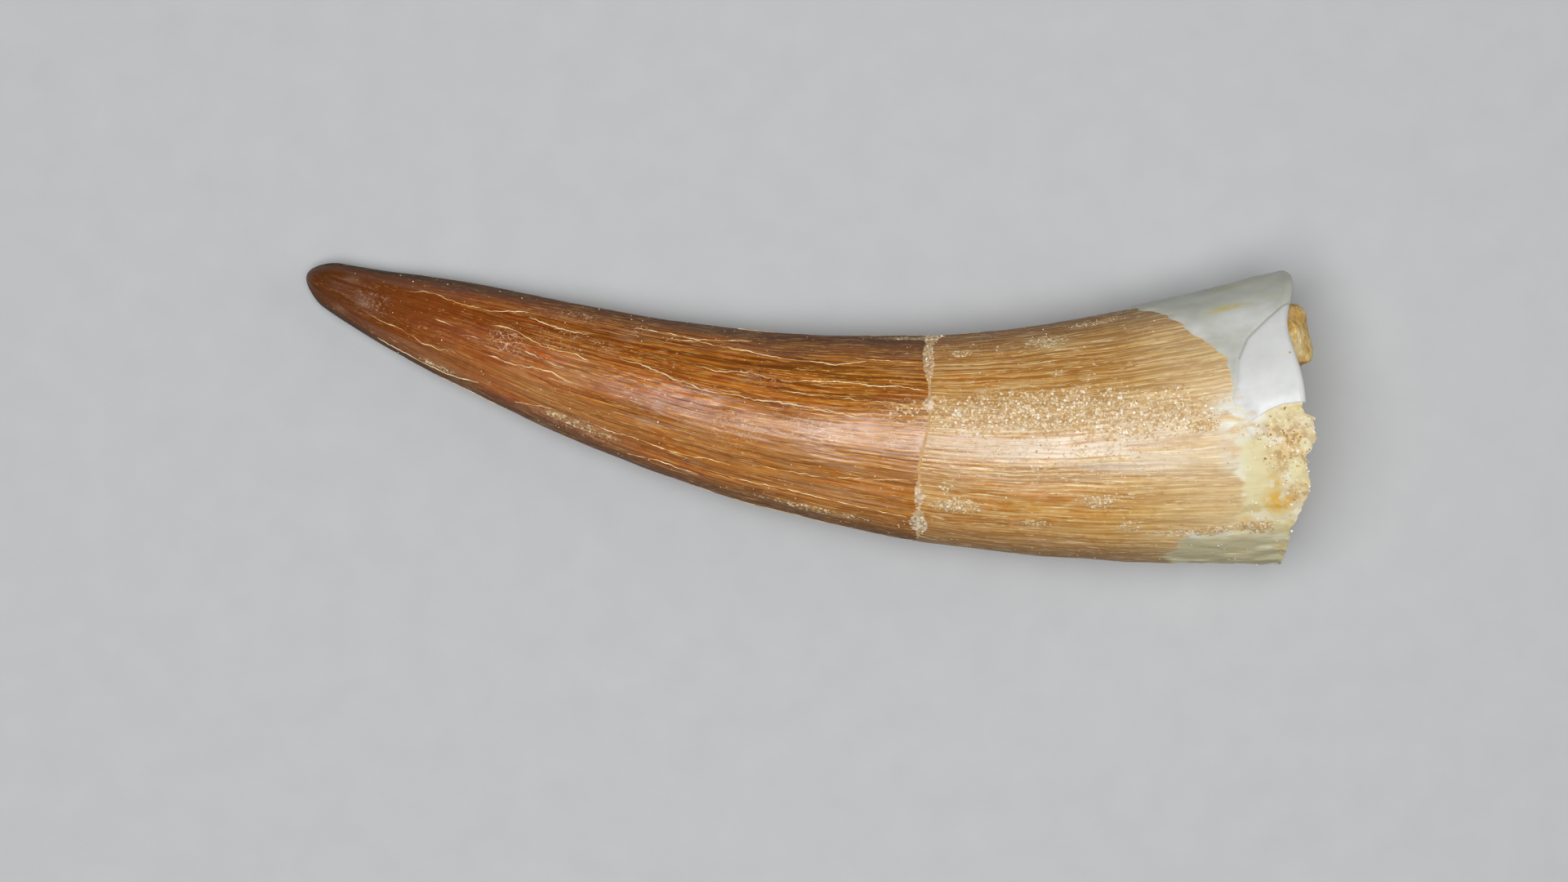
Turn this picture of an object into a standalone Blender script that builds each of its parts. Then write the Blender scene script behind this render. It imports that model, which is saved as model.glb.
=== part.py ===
"""A fossil plesiosaur tooth lying on its side, tip towards -X and root end towards +X.

The crown was broken through and glued together again, so it is two fragments with a bead of
sandy glue between them. Yellow sandstone matrix plugs the pulp cavity at the root end, and a
patch of pale filler rebuilds one side of the rim there.

Lengths are in millimetres up to the last step, which turns them into metres. While the pieces
are shaped, x is counted from the tip and y from the tip's line; the pieces are then moved so
that the middle of the whole tooth stands over the origin.
"""

import math

import bmesh
import bpy
import numpy as np
from mathutils import Matrix, Vector, noise

MM = 0.001
SMOOTH_UP_TO = math.radians(25)  # edges sharper than this stay sharp in the shading

# The tooth's form at a few places along it: distance from the tip, sideways bow, half width.
STATIONS = (
    (0.0, 0.0, 1.0),
    (4.0, -1.63, 2.01),
    (10.0, -3.71, 3.08),
    (20.0, -6.92, 4.37),
    (32.0, -9.46, 5.61),
    (45.0, -10.23, 6.96),
    (59.7, -8.93, 8.77),
)
MIDDLE = (30.28, -8.51)  # x and y of the middle of the finished tooth's box
TOOTH_LENGTH = 61.5  # before the root end is broken off
NOSE_LENGTH = 1.6  # the rounded stretch at the tip
NOSE_FIRST = 0.35  # the first ring of the nose, as a share of a row
HEIGHT_TO_WIDTH = 0.92  # the crown is slightly flattened
TIP_HEIGHT = 1.75  # the tip's middle, above the surface that the tooth lies on
REST_FLAT = 0.2  # how far the ridges are worn flat underneath
RIDGES = 42
RIDGE_SHARE = 0.011  # a ridge's height, as a share of the radius
NOSE_ROWS = 5
BODY_ROWS = 32

CLEARANCE = 0.3  # the gap between two pieces that touch
SHEET_HALF = 13.0  # half the size of the rough sheets that the tooth is broken along
SHEET_CELLS = 13
BREAK_X = 37.6  # where the crown broke, on the tooth's middle line
BREAK_SLANT = 0.10  # how far the break leans along x for each millimetre across
BREAK_ROUGHNESS = 0.55
BREAK_GRAIN = 3.2  # size of the break's steps
RIM_X = 59.5
RIM_ROUGHNESS = 0.35
RIM_GRAIN = 2.2
RIM_CHIP = dict(y=-8.5, z=2.5, radius=6.5, depth=0.85)  # measured from the tooth's middle line

GLUE_WIDTH = 1.0
GLUE_PROUD = 0.22  # how far the bead stands over the enamel
GLUE_LUMPS = 0.2
GLUE_GRAIN = 1.1
BEAD_REACH = 5.0  # the bead's tube before it is cut along the break, each way from it
BEAD_ROWS = 15
BEAD_SIDES = 48

CAVITY_DEPTH = 14.0
CAVITY_WALL = 2.4
CAVITY_END_RADIUS = 1.6
CAVITY_SIDES = 26
CAVITY_RINGS = 4
CAVITY_PAST_RIM = 2.0  # how far the cut for it runs out of the root end
MATRIX_FACE_X = 58.7
MATRIX_FACE_RINGS = (0.18, 0.24, 0.28)  # steps inwards over the broken face, as shares of its radius
MATRIX_BULGE = 0.18
MATRIX_ROUGHNESS = 0.6
MATRIX_GRAIN = 1.9
LUMP_CUTS = 3
LUMP_ROUNDING = 3
LUMP_ROUGHNESS = 0.3
LUMP_GRAIN = 0.75  # for a lump of half size 1
# Lumps of matrix that spill past the rim: place from the middle line at the rim, and half sizes.
MATRIX_LUMPS = (
    ((59.15, 4.8, 1.4), (1.25, 1.75, 2.9)),
    ((58.3, -3.3, 2.0), (1.1, 2.5, 2.0)),
    ((58.3, 0.4, -2.9), (1.1, 3.0, 1.9)),
)

PATCH_FROM, PATCH_TO = math.radians(-75), math.radians(94)  # round the tooth, 0 at +Y, 90 on top
PATCH_APEX_X = 50.4
PATCH_APEX_ANGLE = math.radians(2)
PATCH_FLARE = 4.6  # how much further along x the patch starts for each radian from its apex
PATCH_RIM_X = 59.3
PATCH_DIP = dict(angle=math.radians(47), width=math.radians(19), depth=0.65)
PATCH_THICKNESS = 1.0
PATCH_PROUD = 0.12
PATCH_RAGGED = 0.25  # how far its thin edge wanders
PATCH_GRAIN = 1.5
PATCH_ROWS, PATCH_COLUMNS = 22, 9
RECESS_GROW = 0.35  # the room that the patch has round its edge
RECESS_SLANT = 1.3  # its slanting edge needs this much more of it along x
RECESS_PROUD = 1.2
RECESS_PAST_RIM = 1.4

CUT_REACH = 80.0  # how far a cutting block runs past the tooth
TABLE_SIZE, TABLE_DEPTH = 200.0, 20.0

FINISHES = {
    "amber enamel": dict(colour=(0.30, 0.10, 0.025), roughness=0.3),
    "tan enamel": dict(colour=(0.45, 0.24, 0.08), roughness=0.4),
    "sandy glue": dict(colour=(0.45, 0.38, 0.26), roughness=0.8),
    "yellow sandstone": dict(colour=(0.60, 0.45, 0.20), roughness=0.9),
    "pale filler": dict(colour=(0.62, 0.62, 0.58), roughness=0.6),
}


def spline_through(places, values):
    """A natural cubic spline through the values, as a function of the place."""
    x, y = np.array(places, float), np.array(values, float)
    step, rise = np.diff(x), np.diff(y)
    count = len(x)
    matrix, right = np.eye(count), np.zeros(count)
    for i in range(1, count - 1):
        matrix[i, i - 1 : i + 2] = step[i - 1], 2 * (step[i - 1] + step[i]), step[i]
        right[i] = 3 * (rise[i] / step[i] - rise[i - 1] / step[i - 1])
    bend = np.linalg.solve(matrix, right)

    def value_at(place):
        i = int(np.clip(np.searchsorted(x, place) - 1, 0, count - 2))
        d = place - x[i]
        slope = rise[i] / step[i] - step[i] * (2 * bend[i] + bend[i + 1]) / 3
        return float(y[i] + d * (slope + d * (bend[i] + d * (bend[i + 1] - bend[i]) / (3 * step[i]))))

    return value_at


bow_at = spline_through([s[0] for s in STATIONS], [s[1] for s in STATIONS])
width_at = spline_through([s[0] for s in STATIONS], [s[2] for s in STATIONS])


def radius_at(x):
    """Half the tooth's width at x, rounded off at the nose."""
    if x >= NOSE_LENGTH:
        return width_at(x)
    return width_at(x) * math.sqrt(1 - (1 - x / NOSE_LENGTH) ** 2)


def middle_at(x):
    """The tooth's middle line. Its underside lies along z = 0, and the tip lifts off a little."""
    height = max(HEIGHT_TO_WIDTH * width_at(x) * (1 + RIDGE_SHARE) - REST_FLAT, TIP_HEIGHT)
    return Vector((x, bow_at(x), height))


def sideways_at(x):
    """The level direction across the tooth at x, towards the side that it bows away from."""
    step = 0.05
    along = middle_at(x + step) - middle_at(x - step)
    return Vector((-along.y, along.x, 0)).normalized()


def surface_point(x, angle, proud=0.0):
    """A point of the tooth's surface without its ridges."""
    radius = radius_at(x)
    across, up = radius + proud, HEIGHT_TO_WIDTH * radius + proud
    return middle_at(x) + sideways_at(x) * (across * math.cos(angle)) + Vector((0, 0, up * math.sin(angle)))


def roughness(point, grain, seed):
    """Smooth noise from -1 to 1 that changes over the grain's length."""
    return noise.noise(point / grain + Vector((seed, 2.3 * seed, 5.1 * seed)))


def collection_named(name):
    made = bpy.data.collections.new(name)
    bpy.context.scene.collection.children.link(made)
    return made


def add_object(name, data, collection):
    made = bpy.data.objects.new(name, data)
    collection.objects.link(made)
    return made


def object_of(name, bm, collection):
    """Makes an object of the bmesh, its faces pointing out and split flat for the Booleans."""
    bmesh.ops.recalc_face_normals(bm, faces=bm.faces)
    bmesh.ops.triangulate(bm, faces=bm.faces)
    mesh = bpy.data.meshes.new(name)
    bm.to_mesh(mesh)
    bm.free()
    return add_object(name, mesh, collection)


def evaluated_mesh(obj):
    """The object as a plain mesh, with its modifiers applied."""
    bpy.context.view_layer.update()
    graph = bpy.context.evaluated_depsgraph_get()
    return bpy.data.meshes.new_from_object(obj.evaluated_get(graph))


def weld_caps(mesh):
    """Joins a swept curve's loose end caps to its sides."""
    bm = bmesh.new()
    bm.from_mesh(mesh)
    bmesh.ops.remove_doubles(bm, verts=bm.verts, dist=0.001)
    bmesh.ops.recalc_face_normals(bm, faces=bm.faces)
    bm.to_mesh(mesh)
    bm.free()
    return mesh


def cutter(obj):
    obj.hide_render = True
    obj.display_type = "WIRE"
    return obj


def boolean(obj, operation, other):
    modifier = obj.modifiers.new(f"{operation.lower()} {other.name}", "BOOLEAN")
    modifier.operation = operation
    modifier.object = other
    return obj


def settle(obj):
    """Applies the object's modifiers."""
    mesh = evaluated_mesh(obj)
    obj.modifiers.clear()
    obj.data = mesh
    return obj


def section_profile(name, count, ridge_share, cutters):
    """The tooth's oval outline across, at a radius of 1, every other point lifted into a ridge."""
    curve = bpy.data.curves.new(name, "CURVE")
    spline = curve.splines.new("POLY")
    spline.points.add(count - 1)
    for i, point in enumerate(spline.points):
        angle = 2 * math.pi * i / count - math.pi / 2
        lift = 1 + (ridge_share if i % 2 == 0 else -ridge_share)
        point.co = (lift * math.cos(angle), lift * HEIGHT_TO_WIDTH * math.sin(angle), 0, 1)
    spline.use_cyclic_u = True
    return cutter(add_object(name, curve, cutters))


def swept_tooth(name, places, profile, radius_of, collection):
    """The profile swept along the tooth's middle line, as a closed mesh."""
    curve = bpy.data.curves.new(f"{name}_line", "CURVE")
    curve.dimensions = "3D"
    curve.twist_mode = "Z_UP"
    curve.bevel_mode = "OBJECT"
    curve.bevel_object = profile
    curve.use_fill_caps = True
    spline = curve.splines.new("POLY")
    spline.points.add(len(places) - 1)
    for point, x in zip(spline.points, places):
        point.co = (*middle_at(x), 1)
        point.radius = radius_of(x)
    line = add_object(f"{name}_line", curve, collection)
    made = add_object(name, weld_caps(evaluated_mesh(line)), collection)
    bpy.data.objects.remove(line)
    return made


def whole_tooth(cutters):
    """The unbroken crown with its ridges, its rows closer together on the nose."""
    turns = [math.pi / 2 * (i + NOSE_FIRST) / NOSE_ROWS for i in range(NOSE_ROWS)]
    nose = [NOSE_LENGTH * (1 - math.cos(turn)) for turn in turns]
    body = np.linspace(NOSE_LENGTH, TOOTH_LENGTH, BODY_ROWS)
    profile = section_profile("ridged_section", 2 * RIDGES, RIDGE_SHARE, cutters)
    return cutter(swept_tooth("whole_tooth", [*nose, *body], profile, radius_at, cutters))


def sheet_block(name, sheet_x, from_shift, to_shift, cutters):
    """A block between two copies of a rough sheet that stands across the tooth.

    sheet_x gives the sheet's x at a y and z; a shift of plus or minus CUT_REACH makes a half space.
    """
    centre = middle_at(BREAK_X)
    bm = bmesh.new()
    turn = Matrix.Translation((0, centre.y, centre.z)) @ Matrix.Rotation(math.pi / 2, 4, "Y")
    bmesh.ops.create_grid(bm, x_segments=SHEET_CELLS, y_segments=SHEET_CELLS, size=SHEET_HALF, matrix=turn)
    near = list(bm.verts)
    for vert in near:
        vert.co.x = sheet_x(vert.co.y, vert.co.z)
    made = bmesh.ops.extrude_face_region(bm, geom=list(bm.faces), use_keep_orig=True)
    far = [item for item in made["geom"] if isinstance(item, bmesh.types.BMVert)]
    for verts, shift in ((near, from_shift), (far, to_shift)):
        bmesh.ops.translate(bm, verts=verts, vec=(shift, 0, 0))
    return cutter(object_of(name, bm, cutters))


def break_x(y, z):
    """The broken face, as x at a y and z."""
    rough = BREAK_ROUGHNESS * roughness(Vector((0, y, z)), BREAK_GRAIN, 4)
    return BREAK_X + BREAK_SLANT * (y - bow_at(BREAK_X)) + rough


def rim_x(y, z):
    """The broken root end, as x at a y and z."""
    centre = middle_at(RIM_X)
    away = math.hypot(y - centre.y - RIM_CHIP["y"], z - centre.z - RIM_CHIP["z"]) / RIM_CHIP["radius"]
    chip = RIM_CHIP["depth"] * max(0.0, 1 - away * away)
    return RIM_X - chip + RIM_ROUGHNESS * roughness(Vector((0, y, z)), RIM_GRAIN, 9)


def matrix_cone(name, grow, past, collection):
    """The sandstone inside the pulp cavity: a blunt cone with a rough broken face at the mouth."""
    mouth = width_at(RIM_X) - CAVITY_WALL - CLEARANCE
    taper = (mouth - CAVITY_END_RADIUS) / CAVITY_DEPTH
    start, end = MATRIX_FACE_X - CAVITY_DEPTH - grow, MATRIX_FACE_X + past
    small, large = (mouth + grow + taper * (x - MATRIX_FACE_X) for x in (start, end))
    bm = bmesh.new()
    bmesh.ops.create_cone(bm, segments=CAVITY_SIDES, radius1=small, radius2=large, depth=1, cap_ends=True)
    sides = [edge for edge in bm.edges if abs(edge.verts[0].co.z - edge.verts[1].co.z) > 0.5]
    bmesh.ops.subdivide_edges(bm, edges=sides, cuts=CAVITY_RINGS, use_grid_fill=True)
    mouth_face = max(bm.faces, key=lambda face: face.calc_center_median().z)
    for share in MATRIX_FACE_RINGS:
        bmesh.ops.inset_region(bm, faces=[mouth_face], thickness=share * mouth, use_even_offset=True)
    for vert in bm.verts:
        share = vert.co.z + 0.5
        x = start + share * (end - start)
        place = middle_at(x) + sideways_at(x) * vert.co.x + Vector((0, 0, vert.co.y * HEIGHT_TO_WIDTH))
        if share > 0.99:
            place.x += MATRIX_BULGE + MATRIX_ROUGHNESS * roughness(place, MATRIX_GRAIN, 3)
        vert.co = place
    return object_of(name, bm, collection)


def matrix_lump(name, place, halves, seed, collection):
    """A rough block of sandstone, its place given from the middle line at the rim."""
    centre = middle_at(RIM_X)
    spot = Vector((place[0], centre.y + place[1], centre.z + place[2]))
    bm = bmesh.new()
    bmesh.ops.create_cube(bm, size=2)
    bmesh.ops.subdivide_edges(bm, edges=bm.edges, cuts=LUMP_CUTS, use_grid_fill=True)
    for _ in range(LUMP_ROUNDING):
        bmesh.ops.smooth_vert(
            bm, verts=bm.verts, factor=0.5, use_axis_x=True, use_axis_y=True, use_axis_z=True
        )
    for vert in bm.verts:
        lumpy = 1 + LUMP_ROUGHNESS * roughness(vert.co, LUMP_GRAIN, seed)
        vert.co = spot + vert.co * (Vector(halves) * lumpy)
    return cutter(object_of(name, bm, collection))


def matrix_form(name, grow, past, collection, cutters):
    """The whole plug of sandstone, or, grown on all sides and past the rim, the cavity that holds it."""
    form = matrix_cone(name, grow, past, collection)
    for i, (place, halves) in enumerate(MATRIX_LUMPS, start=1):
        grown = [half + grow for half in halves]
        boolean(form, "UNION", matrix_lump(f"{name}_lump_{i}", place, grown, i, cutters))
    return settle(form)


def patch_start_x(angle):
    """Where the filler patch starts along the tooth: a wedge that widens towards the rim."""
    return PATCH_APEX_X + PATCH_FLARE * abs(angle - PATCH_APEX_ANGLE)


def patch_rim_x(angle):
    """Where the patch ends at the rim, with a dip that shows the matrix behind it."""
    away = (angle - PATCH_DIP["angle"]) / PATCH_DIP["width"]
    end = PATCH_RIM_X - PATCH_DIP["depth"] * math.exp(-away * away)
    x = end
    for _ in range(3):
        x += end - surface_point(x, angle, 0).x  # the rim is cut across x, not across the bowed tooth
    return x


def plate_on_tooth(name, point_at, thickness, collection):
    """A bent plate over the tooth. point_at gives its outer face at shares along and round, 0 to 1."""
    bm = bmesh.new()
    bmesh.ops.create_grid(bm, x_segments=PATCH_COLUMNS, y_segments=PATCH_ROWS, size=0.5)
    for vert in bm.verts:
        vert.co = point_at(vert.co.x + 0.5, vert.co.y + 0.5)
    bmesh.ops.recalc_face_normals(bm, faces=bm.faces)
    if sum(face.normal.z for face in bm.faces) < 0:
        bmesh.ops.reverse_faces(bm, faces=bm.faces)
    mesh = bpy.data.meshes.new(name)
    bm.to_mesh(mesh)
    bm.free()
    plate = add_object(name, mesh, collection)
    thick = plate.modifiers.new("thickness", "SOLIDIFY")
    thick.thickness = thickness
    thick.offset = -1
    return settle(plate)


def patch_point(along, around):
    """The patch's outer face, its thin edge wandering a little."""
    angle = PATCH_FROM + (PATCH_TO - PATCH_FROM) * around
    start, end = patch_start_x(angle), patch_rim_x(angle)
    x = start + (end - start) * along
    ragged = PATCH_RAGGED * roughness(Vector((x, 3 * angle, 0)), PATCH_GRAIN, 6)
    return surface_point(x + ragged * (1 - along), angle, PATCH_PROUD)


def recess_point(along, around):
    """The outer face of the block that cuts the patch's recess into the crown."""
    more = RECESS_GROW / width_at(RIM_X)
    angle = PATCH_FROM - more + (PATCH_TO - PATCH_FROM + 2 * more) * around
    start = patch_start_x(angle) - RECESS_SLANT * RECESS_GROW
    end = patch_rim_x(angle) + RECESS_PAST_RIM
    return surface_point(start + (end - start) * along, angle, RECESS_PROUD)


def table_block(cutters):
    """Everything below the surface that the tooth lies on."""
    bm = bmesh.new()
    bmesh.ops.create_cube(bm, size=1, matrix=Matrix.Diagonal((TABLE_SIZE, TABLE_SIZE, TABLE_DEPTH, 1)))
    bmesh.ops.translate(bm, verts=bm.verts, vec=(0, 0, -TABLE_DEPTH / 2))
    return cutter(object_of("below_the_table", bm, cutters))


def material(name):
    finish = FINISHES[name]
    made = bpy.data.materials.new(name)
    made.use_nodes = True
    shader = made.node_tree.nodes["Principled BSDF"]
    shader.inputs["Base Color"].default_value = (*finish["colour"], 1)
    shader.inputs["Roughness"].default_value = finish["roughness"]
    shader.inputs["Metallic"].default_value = 0
    return made


def finished(obj, surface, tooth):
    """Applies what is left, turns the piece to metres round the tooth's own origin, and dresses it."""
    settle(obj)
    obj.data.transform(Matrix.Scale(MM, 4) @ Matrix.Translation((-MIDDLE[0], -MIDDLE[1], 0)))
    obj.data.materials.clear()
    obj.data.materials.append(material(surface))
    obj.data.shade_smooth()
    obj.data.set_sharp_from_angle(angle=SMOOTH_UP_TO)
    obj.parent = tooth
    return obj


def tip_fragment(whole, table, collection, cutters):
    """The pointed part of the crown, up to the break."""
    piece = add_object("tip_fragment", whole.data.copy(), collection)
    before = sheet_block("before_break", break_x, -CUT_REACH, -GLUE_WIDTH / 2 - CLEARANCE, cutters)
    boolean(piece, "INTERSECT", before)
    return boolean(piece, "DIFFERENCE", table)


def root_fragment(whole, table, collection, cutters):
    """The wide part of the crown, hollowed for the matrix and cut back for the patch."""
    piece = add_object("root_fragment", whole.data.copy(), collection)
    after = sheet_block("after_break", break_x, GLUE_WIDTH / 2 + CLEARANCE, CUT_REACH, cutters)
    past_rim = sheet_block("past_rim", rim_x, 0, CUT_REACH, cutters)
    cavity = cutter(matrix_form("cavity", CLEARANCE, CAVITY_PAST_RIM, cutters, cutters))
    deep = RECESS_PROUD + PATCH_THICKNESS + CLEARANCE
    recess = cutter(plate_on_tooth("patch_recess", recess_point, deep, cutters))
    boolean(piece, "INTERSECT", after)
    for other in (past_rim, cavity, recess, table):
        boolean(piece, "DIFFERENCE", other)
    return piece


def glue_seam(table, collection, cutters):
    """The bead of sandy glue that fills the break and stands a little proud of it."""
    places = np.linspace(BREAK_X - BEAD_REACH, BREAK_X + BEAD_REACH, BEAD_ROWS)
    profile = section_profile("bead_section", BEAD_SIDES, 0, cutters)
    bead = swept_tooth("glue_seam", places, profile, lambda x: width_at(x) + GLUE_PROUD, collection)
    for vert in bead.data.vertices:
        outward = Vector((0, *(vert.co - middle_at(vert.co.x)).yz)).normalized()
        vert.co += outward * (GLUE_LUMPS * roughness(vert.co, GLUE_GRAIN, 7))
    between = sheet_block("in_break", break_x, -GLUE_WIDTH / 2, GLUE_WIDTH / 2, cutters)
    boolean(bead, "DIFFERENCE", table)
    return boolean(bead, "INTERSECT", between)


def build():
    for obj in list(bpy.data.objects):
        bpy.data.objects.remove(obj)
    collection = collection_named("fossil_plesiosaur_tooth")
    cutters = collection_named("cutters")
    tooth = add_object("tooth", None, collection)
    whole = whole_tooth(cutters)
    table = table_block(cutters)
    finished(tip_fragment(whole, table, collection, cutters), "amber enamel", tooth)
    finished(root_fragment(whole, table, collection, cutters), "tan enamel", tooth)
    finished(glue_seam(table, collection, cutters), "sandy glue", tooth)
    finished(matrix_form("matrix_plug", 0, 0, collection, cutters), "yellow sandstone", tooth)
    patch = plate_on_tooth("filler_patch", patch_point, PATCH_PROUD + PATCH_THICKNESS, collection)
    finished(patch, "pale filler", tooth)


build()
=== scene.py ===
import math
import random
from functools import cached_property

import bmesh
import bpy
import numpy as np
from mathutils import Matrix, Vector, noise


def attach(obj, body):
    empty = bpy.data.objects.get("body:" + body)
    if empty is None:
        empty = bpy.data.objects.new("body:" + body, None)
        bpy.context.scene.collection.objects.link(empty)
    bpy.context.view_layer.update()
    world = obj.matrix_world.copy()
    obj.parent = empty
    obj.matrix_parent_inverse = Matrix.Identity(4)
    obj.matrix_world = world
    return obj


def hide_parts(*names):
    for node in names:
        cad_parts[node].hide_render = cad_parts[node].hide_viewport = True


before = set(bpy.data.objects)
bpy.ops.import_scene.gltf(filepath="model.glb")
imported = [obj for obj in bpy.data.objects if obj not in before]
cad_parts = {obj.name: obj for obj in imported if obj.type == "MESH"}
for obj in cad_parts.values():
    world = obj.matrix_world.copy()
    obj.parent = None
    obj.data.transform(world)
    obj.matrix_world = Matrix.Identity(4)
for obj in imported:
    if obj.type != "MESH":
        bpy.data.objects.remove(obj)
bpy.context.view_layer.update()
print("frame loaded with", ", ".join(sorted(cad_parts)))

mm = 0.001
fullTurn = 2 * math.pi

# the tooth's form in millimetres, x counted from the tip and y from the tip's line, lying on z = 0
toothForm = {
    "stations": (  # distance along, sideways bow, half width
        (0.0, 0.0, 1.0),
        (4.0, -1.63, 2.01),
        (10.0, -3.71, 3.08),
        (20.0, -6.92, 4.37),
        (32.0, -9.46, 5.61),
        (45.0, -10.23, 6.96),
        (59.7, -8.93, 8.77),
    ),
    "noseLength": 1.6,
    "heightToWidth": 0.92,
    "ridgeShare": 0.011,
    "restFlat": 0.2,
    "tipHeight": 1.75,
    "middle": (30.28, -8.51),  # the frame's origin
    "straightRadius": 7.0,  # of the straight rod that patterns are drawn on
}


def splineThrough(places, values):
    # natural cubic spline, for arrays
    x, y = np.array(places, float), np.array(values, float)
    step, rise = np.diff(x), np.diff(y)
    count = len(x)
    matrix, right = np.eye(count), np.zeros(count)
    for i in range(1, count - 1):
        matrix[i, i - 1 : i + 2] = step[i - 1], 2 * (step[i - 1] + step[i]), step[i]
        right[i] = 3 * (rise[i] / step[i] - rise[i - 1] / step[i - 1])
    bend = np.linalg.solve(matrix, right)

    def valueAt(place):
        i = np.clip(np.searchsorted(x, place) - 1, 0, count - 2)
        d = place - x[i]
        slope = rise[i] / step[i] - step[i] * (2 * bend[i] + bend[i + 1]) / 3
        return y[i] + d * (slope + d * (bend[i] + d * (bend[i + 1] - bend[i]) / (3 * step[i])))

    return valueAt


distances, bows, halfWidths = zip(*toothForm["stations"])
bowAt = splineThrough(distances, bows)
widthAt = splineThrough(distances, halfWidths)


def radiusAt(x):
    toNose = limited(1 - x / toothForm["noseLength"])
    return widthAt(x) * np.sqrt(1 - toNose**2)


def heightAt(x):
    lying = toothForm["heightToWidth"] * widthAt(x) * (1 + toothForm["ridgeShare"]) - toothForm["restFlat"]
    return np.maximum(lying, toothForm["tipHeight"])


def crossSlopeAt(x, reach=0.05):
    return (bowAt(x + reach) - bowAt(x - reach)) / (2 * reach)


def toothPlaces(x, turn, share=1.0, lift=0.0):
    # millimetres; turn is 0 on the hollow side of the bow and a quarter turn on top
    slope = crossSlopeAt(x)
    size = np.sqrt(1 + slope**2)
    radius = radiusAt(x)
    across = (radius + lift) * share * np.cos(turn)
    up = (toothForm["heightToWidth"] * radius + lift) * share * np.sin(turn)
    return np.stack((x - slope / size * across, bowAt(x) + across / size, heightAt(x) + up), -1)


def toMetres(places):
    # into the frame, worn flat where the tooth lies
    moved = places - np.array((*toothForm["middle"], 0))
    moved[:, 2] = np.maximum(moved[:, 2], 0)
    return moved * mm


def straightPlaces(x, turn, share=1.0):
    # the same spots on a straight rod, so that patterns run along the tooth without a seam
    radius = toothForm["straightRadius"] * share
    return np.stack((x, radius * np.cos(turn), radius * np.sin(turn)), -1)


def noiseAt(places, grain, seed, octaves=1):
    # about -1 to 1; every seed looks at another place of the same noise
    shifted = (places / np.array(grain) + np.array((seed, 2.3 * seed, 5.1 * seed))).tolist()
    if octaves == 1:
        return np.array([noise.noise(spot) for spot in shifted])
    return np.array([noise.fractal(spot, 0.9, 2.1, octaves) for spot in shifted])


def roughAt(places, look):
    # roughness as the looks below give it: height, size of the grain, seed and octaves
    height, grain, seed, octaves = look
    return height * noiseAt(places, grain, seed, octaves)


def alongOnly(values):
    # places for noise that changes with one value alone
    return np.stack((values, 0 * values, 0 * values), -1)


def limited(value):
    return np.clip(value, 0, 1)


def smoothStep(value):
    t = limited(value)
    return t * t * (3 - 2 * t)


def evenBetween(value, start, end):
    return limited((value - start) / (end - start))


def between(value, start, end):
    # soft rise from 0 at the start to 1 at the end
    return smoothStep((value - start) / (end - start))


def bell(away):
    # 1 in the middle, a third at 1 and next to nothing at 2
    return np.exp(-(away**2))


def turnGap(turn, other):
    return (turn - other + math.pi) % fullTurn - math.pi


def awayFrom(x, turn, radius, spot):
    # 0 in the middle of a spot and 1 on its outline; spot is its middle, turn and half sizes
    middle, middleTurn, halfX, halfY = spot
    return ((x - middle) / halfX) ** 2 + (turnGap(turn, middleTurn) * radius / halfY) ** 2


# where the camera stands, in the tooth's millimetres; what it sees is placed on the plane of the tooth's axis
seenFrom = {"camera": (29.31, -10.25, 208.0), "planeHeight": 8.0, "rounds": 12, "limits": (0.05, 60.5)}


def seenAt(spot):
    # the distance along and the turn of the upper surface that shows at this spot
    camX, camY, camZ = seenFrom["camera"]
    height = seenFrom["planeHeight"]
    x = spot[0]
    for _ in range(seenFrom["rounds"]):
        reach = (camZ - height) / (camZ - seenFrom["planeHeight"])
        px, py = camX + (spot[0] - camX) * reach, camY + (spot[1] - camY) * reach
        slope = crossSlopeAt(x)
        nearest = (px + slope * (py - bowAt(x) + slope * x)) / (1 + slope**2)
        x = float(np.clip(nearest, *seenFrom["limits"]))
        across = (py - bowAt(x) - slope * (px - x)) / math.sqrt(1 + slope**2)
        cosine = float(np.clip(across / radiusAt(x), -1, 1))
        height = float(heightAt(x) + toothForm["heightToWidth"] * radiusAt(x) * math.sqrt(1 - cosine**2))
    return x, math.acos(cosine)


def spotsIn(vertices):
    return np.array([vert.co.to_tuple() for vert in vertices])


def wrapGrid(name, rows, columns, placeOf, joined=True):
    # a grid laid over a form; placeOf gives places in millimetres and what each point carries
    bm = bmesh.new()
    bmesh.ops.create_grid(bm, x_segments=rows, y_segments=columns, size=0.5)
    shares = spotsIn(bm.verts)[:, :2] + 0.5
    places, straight, carried = placeOf(shares[:, 0], shares[:, 1])
    bm.verts.layers.float_vector.new("straight")
    for key in carried:
        bm.verts.layers.float.new(key)
    for vert, place in zip(bm.verts, toMetres(places).tolist()):
        vert.co = place
    layers = [(bm.verts.layers.float_vector["straight"], straight)]
    layers += [(bm.verts.layers.float[key], values) for key, values in carried.items()]
    for layer, values in layers:
        for vert, value in zip(bm.verts, values.tolist()):
            vert[layer] = value
    if joined:
        bmesh.ops.remove_doubles(bm, verts=bm.verts, dist=0.0001 * mm)
    bmesh.ops.recalc_face_normals(bm, faces=bm.faces)
    return pieceOf(name, bm)


def pieceOf(name, bm, sharpAngle=55):
    mesh = bpy.data.meshes.new(name)
    bm.to_mesh(mesh)
    bm.free()
    mesh.shade_smooth()
    mesh.set_sharp_from_angle(angle=math.radians(sharpAngle))
    piece = bpy.data.objects.new(name, mesh)
    bpy.context.scene.collection.objects.link(piece)
    print(name, "made,", len(mesh.polygons), "faces")
    return piece


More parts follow.
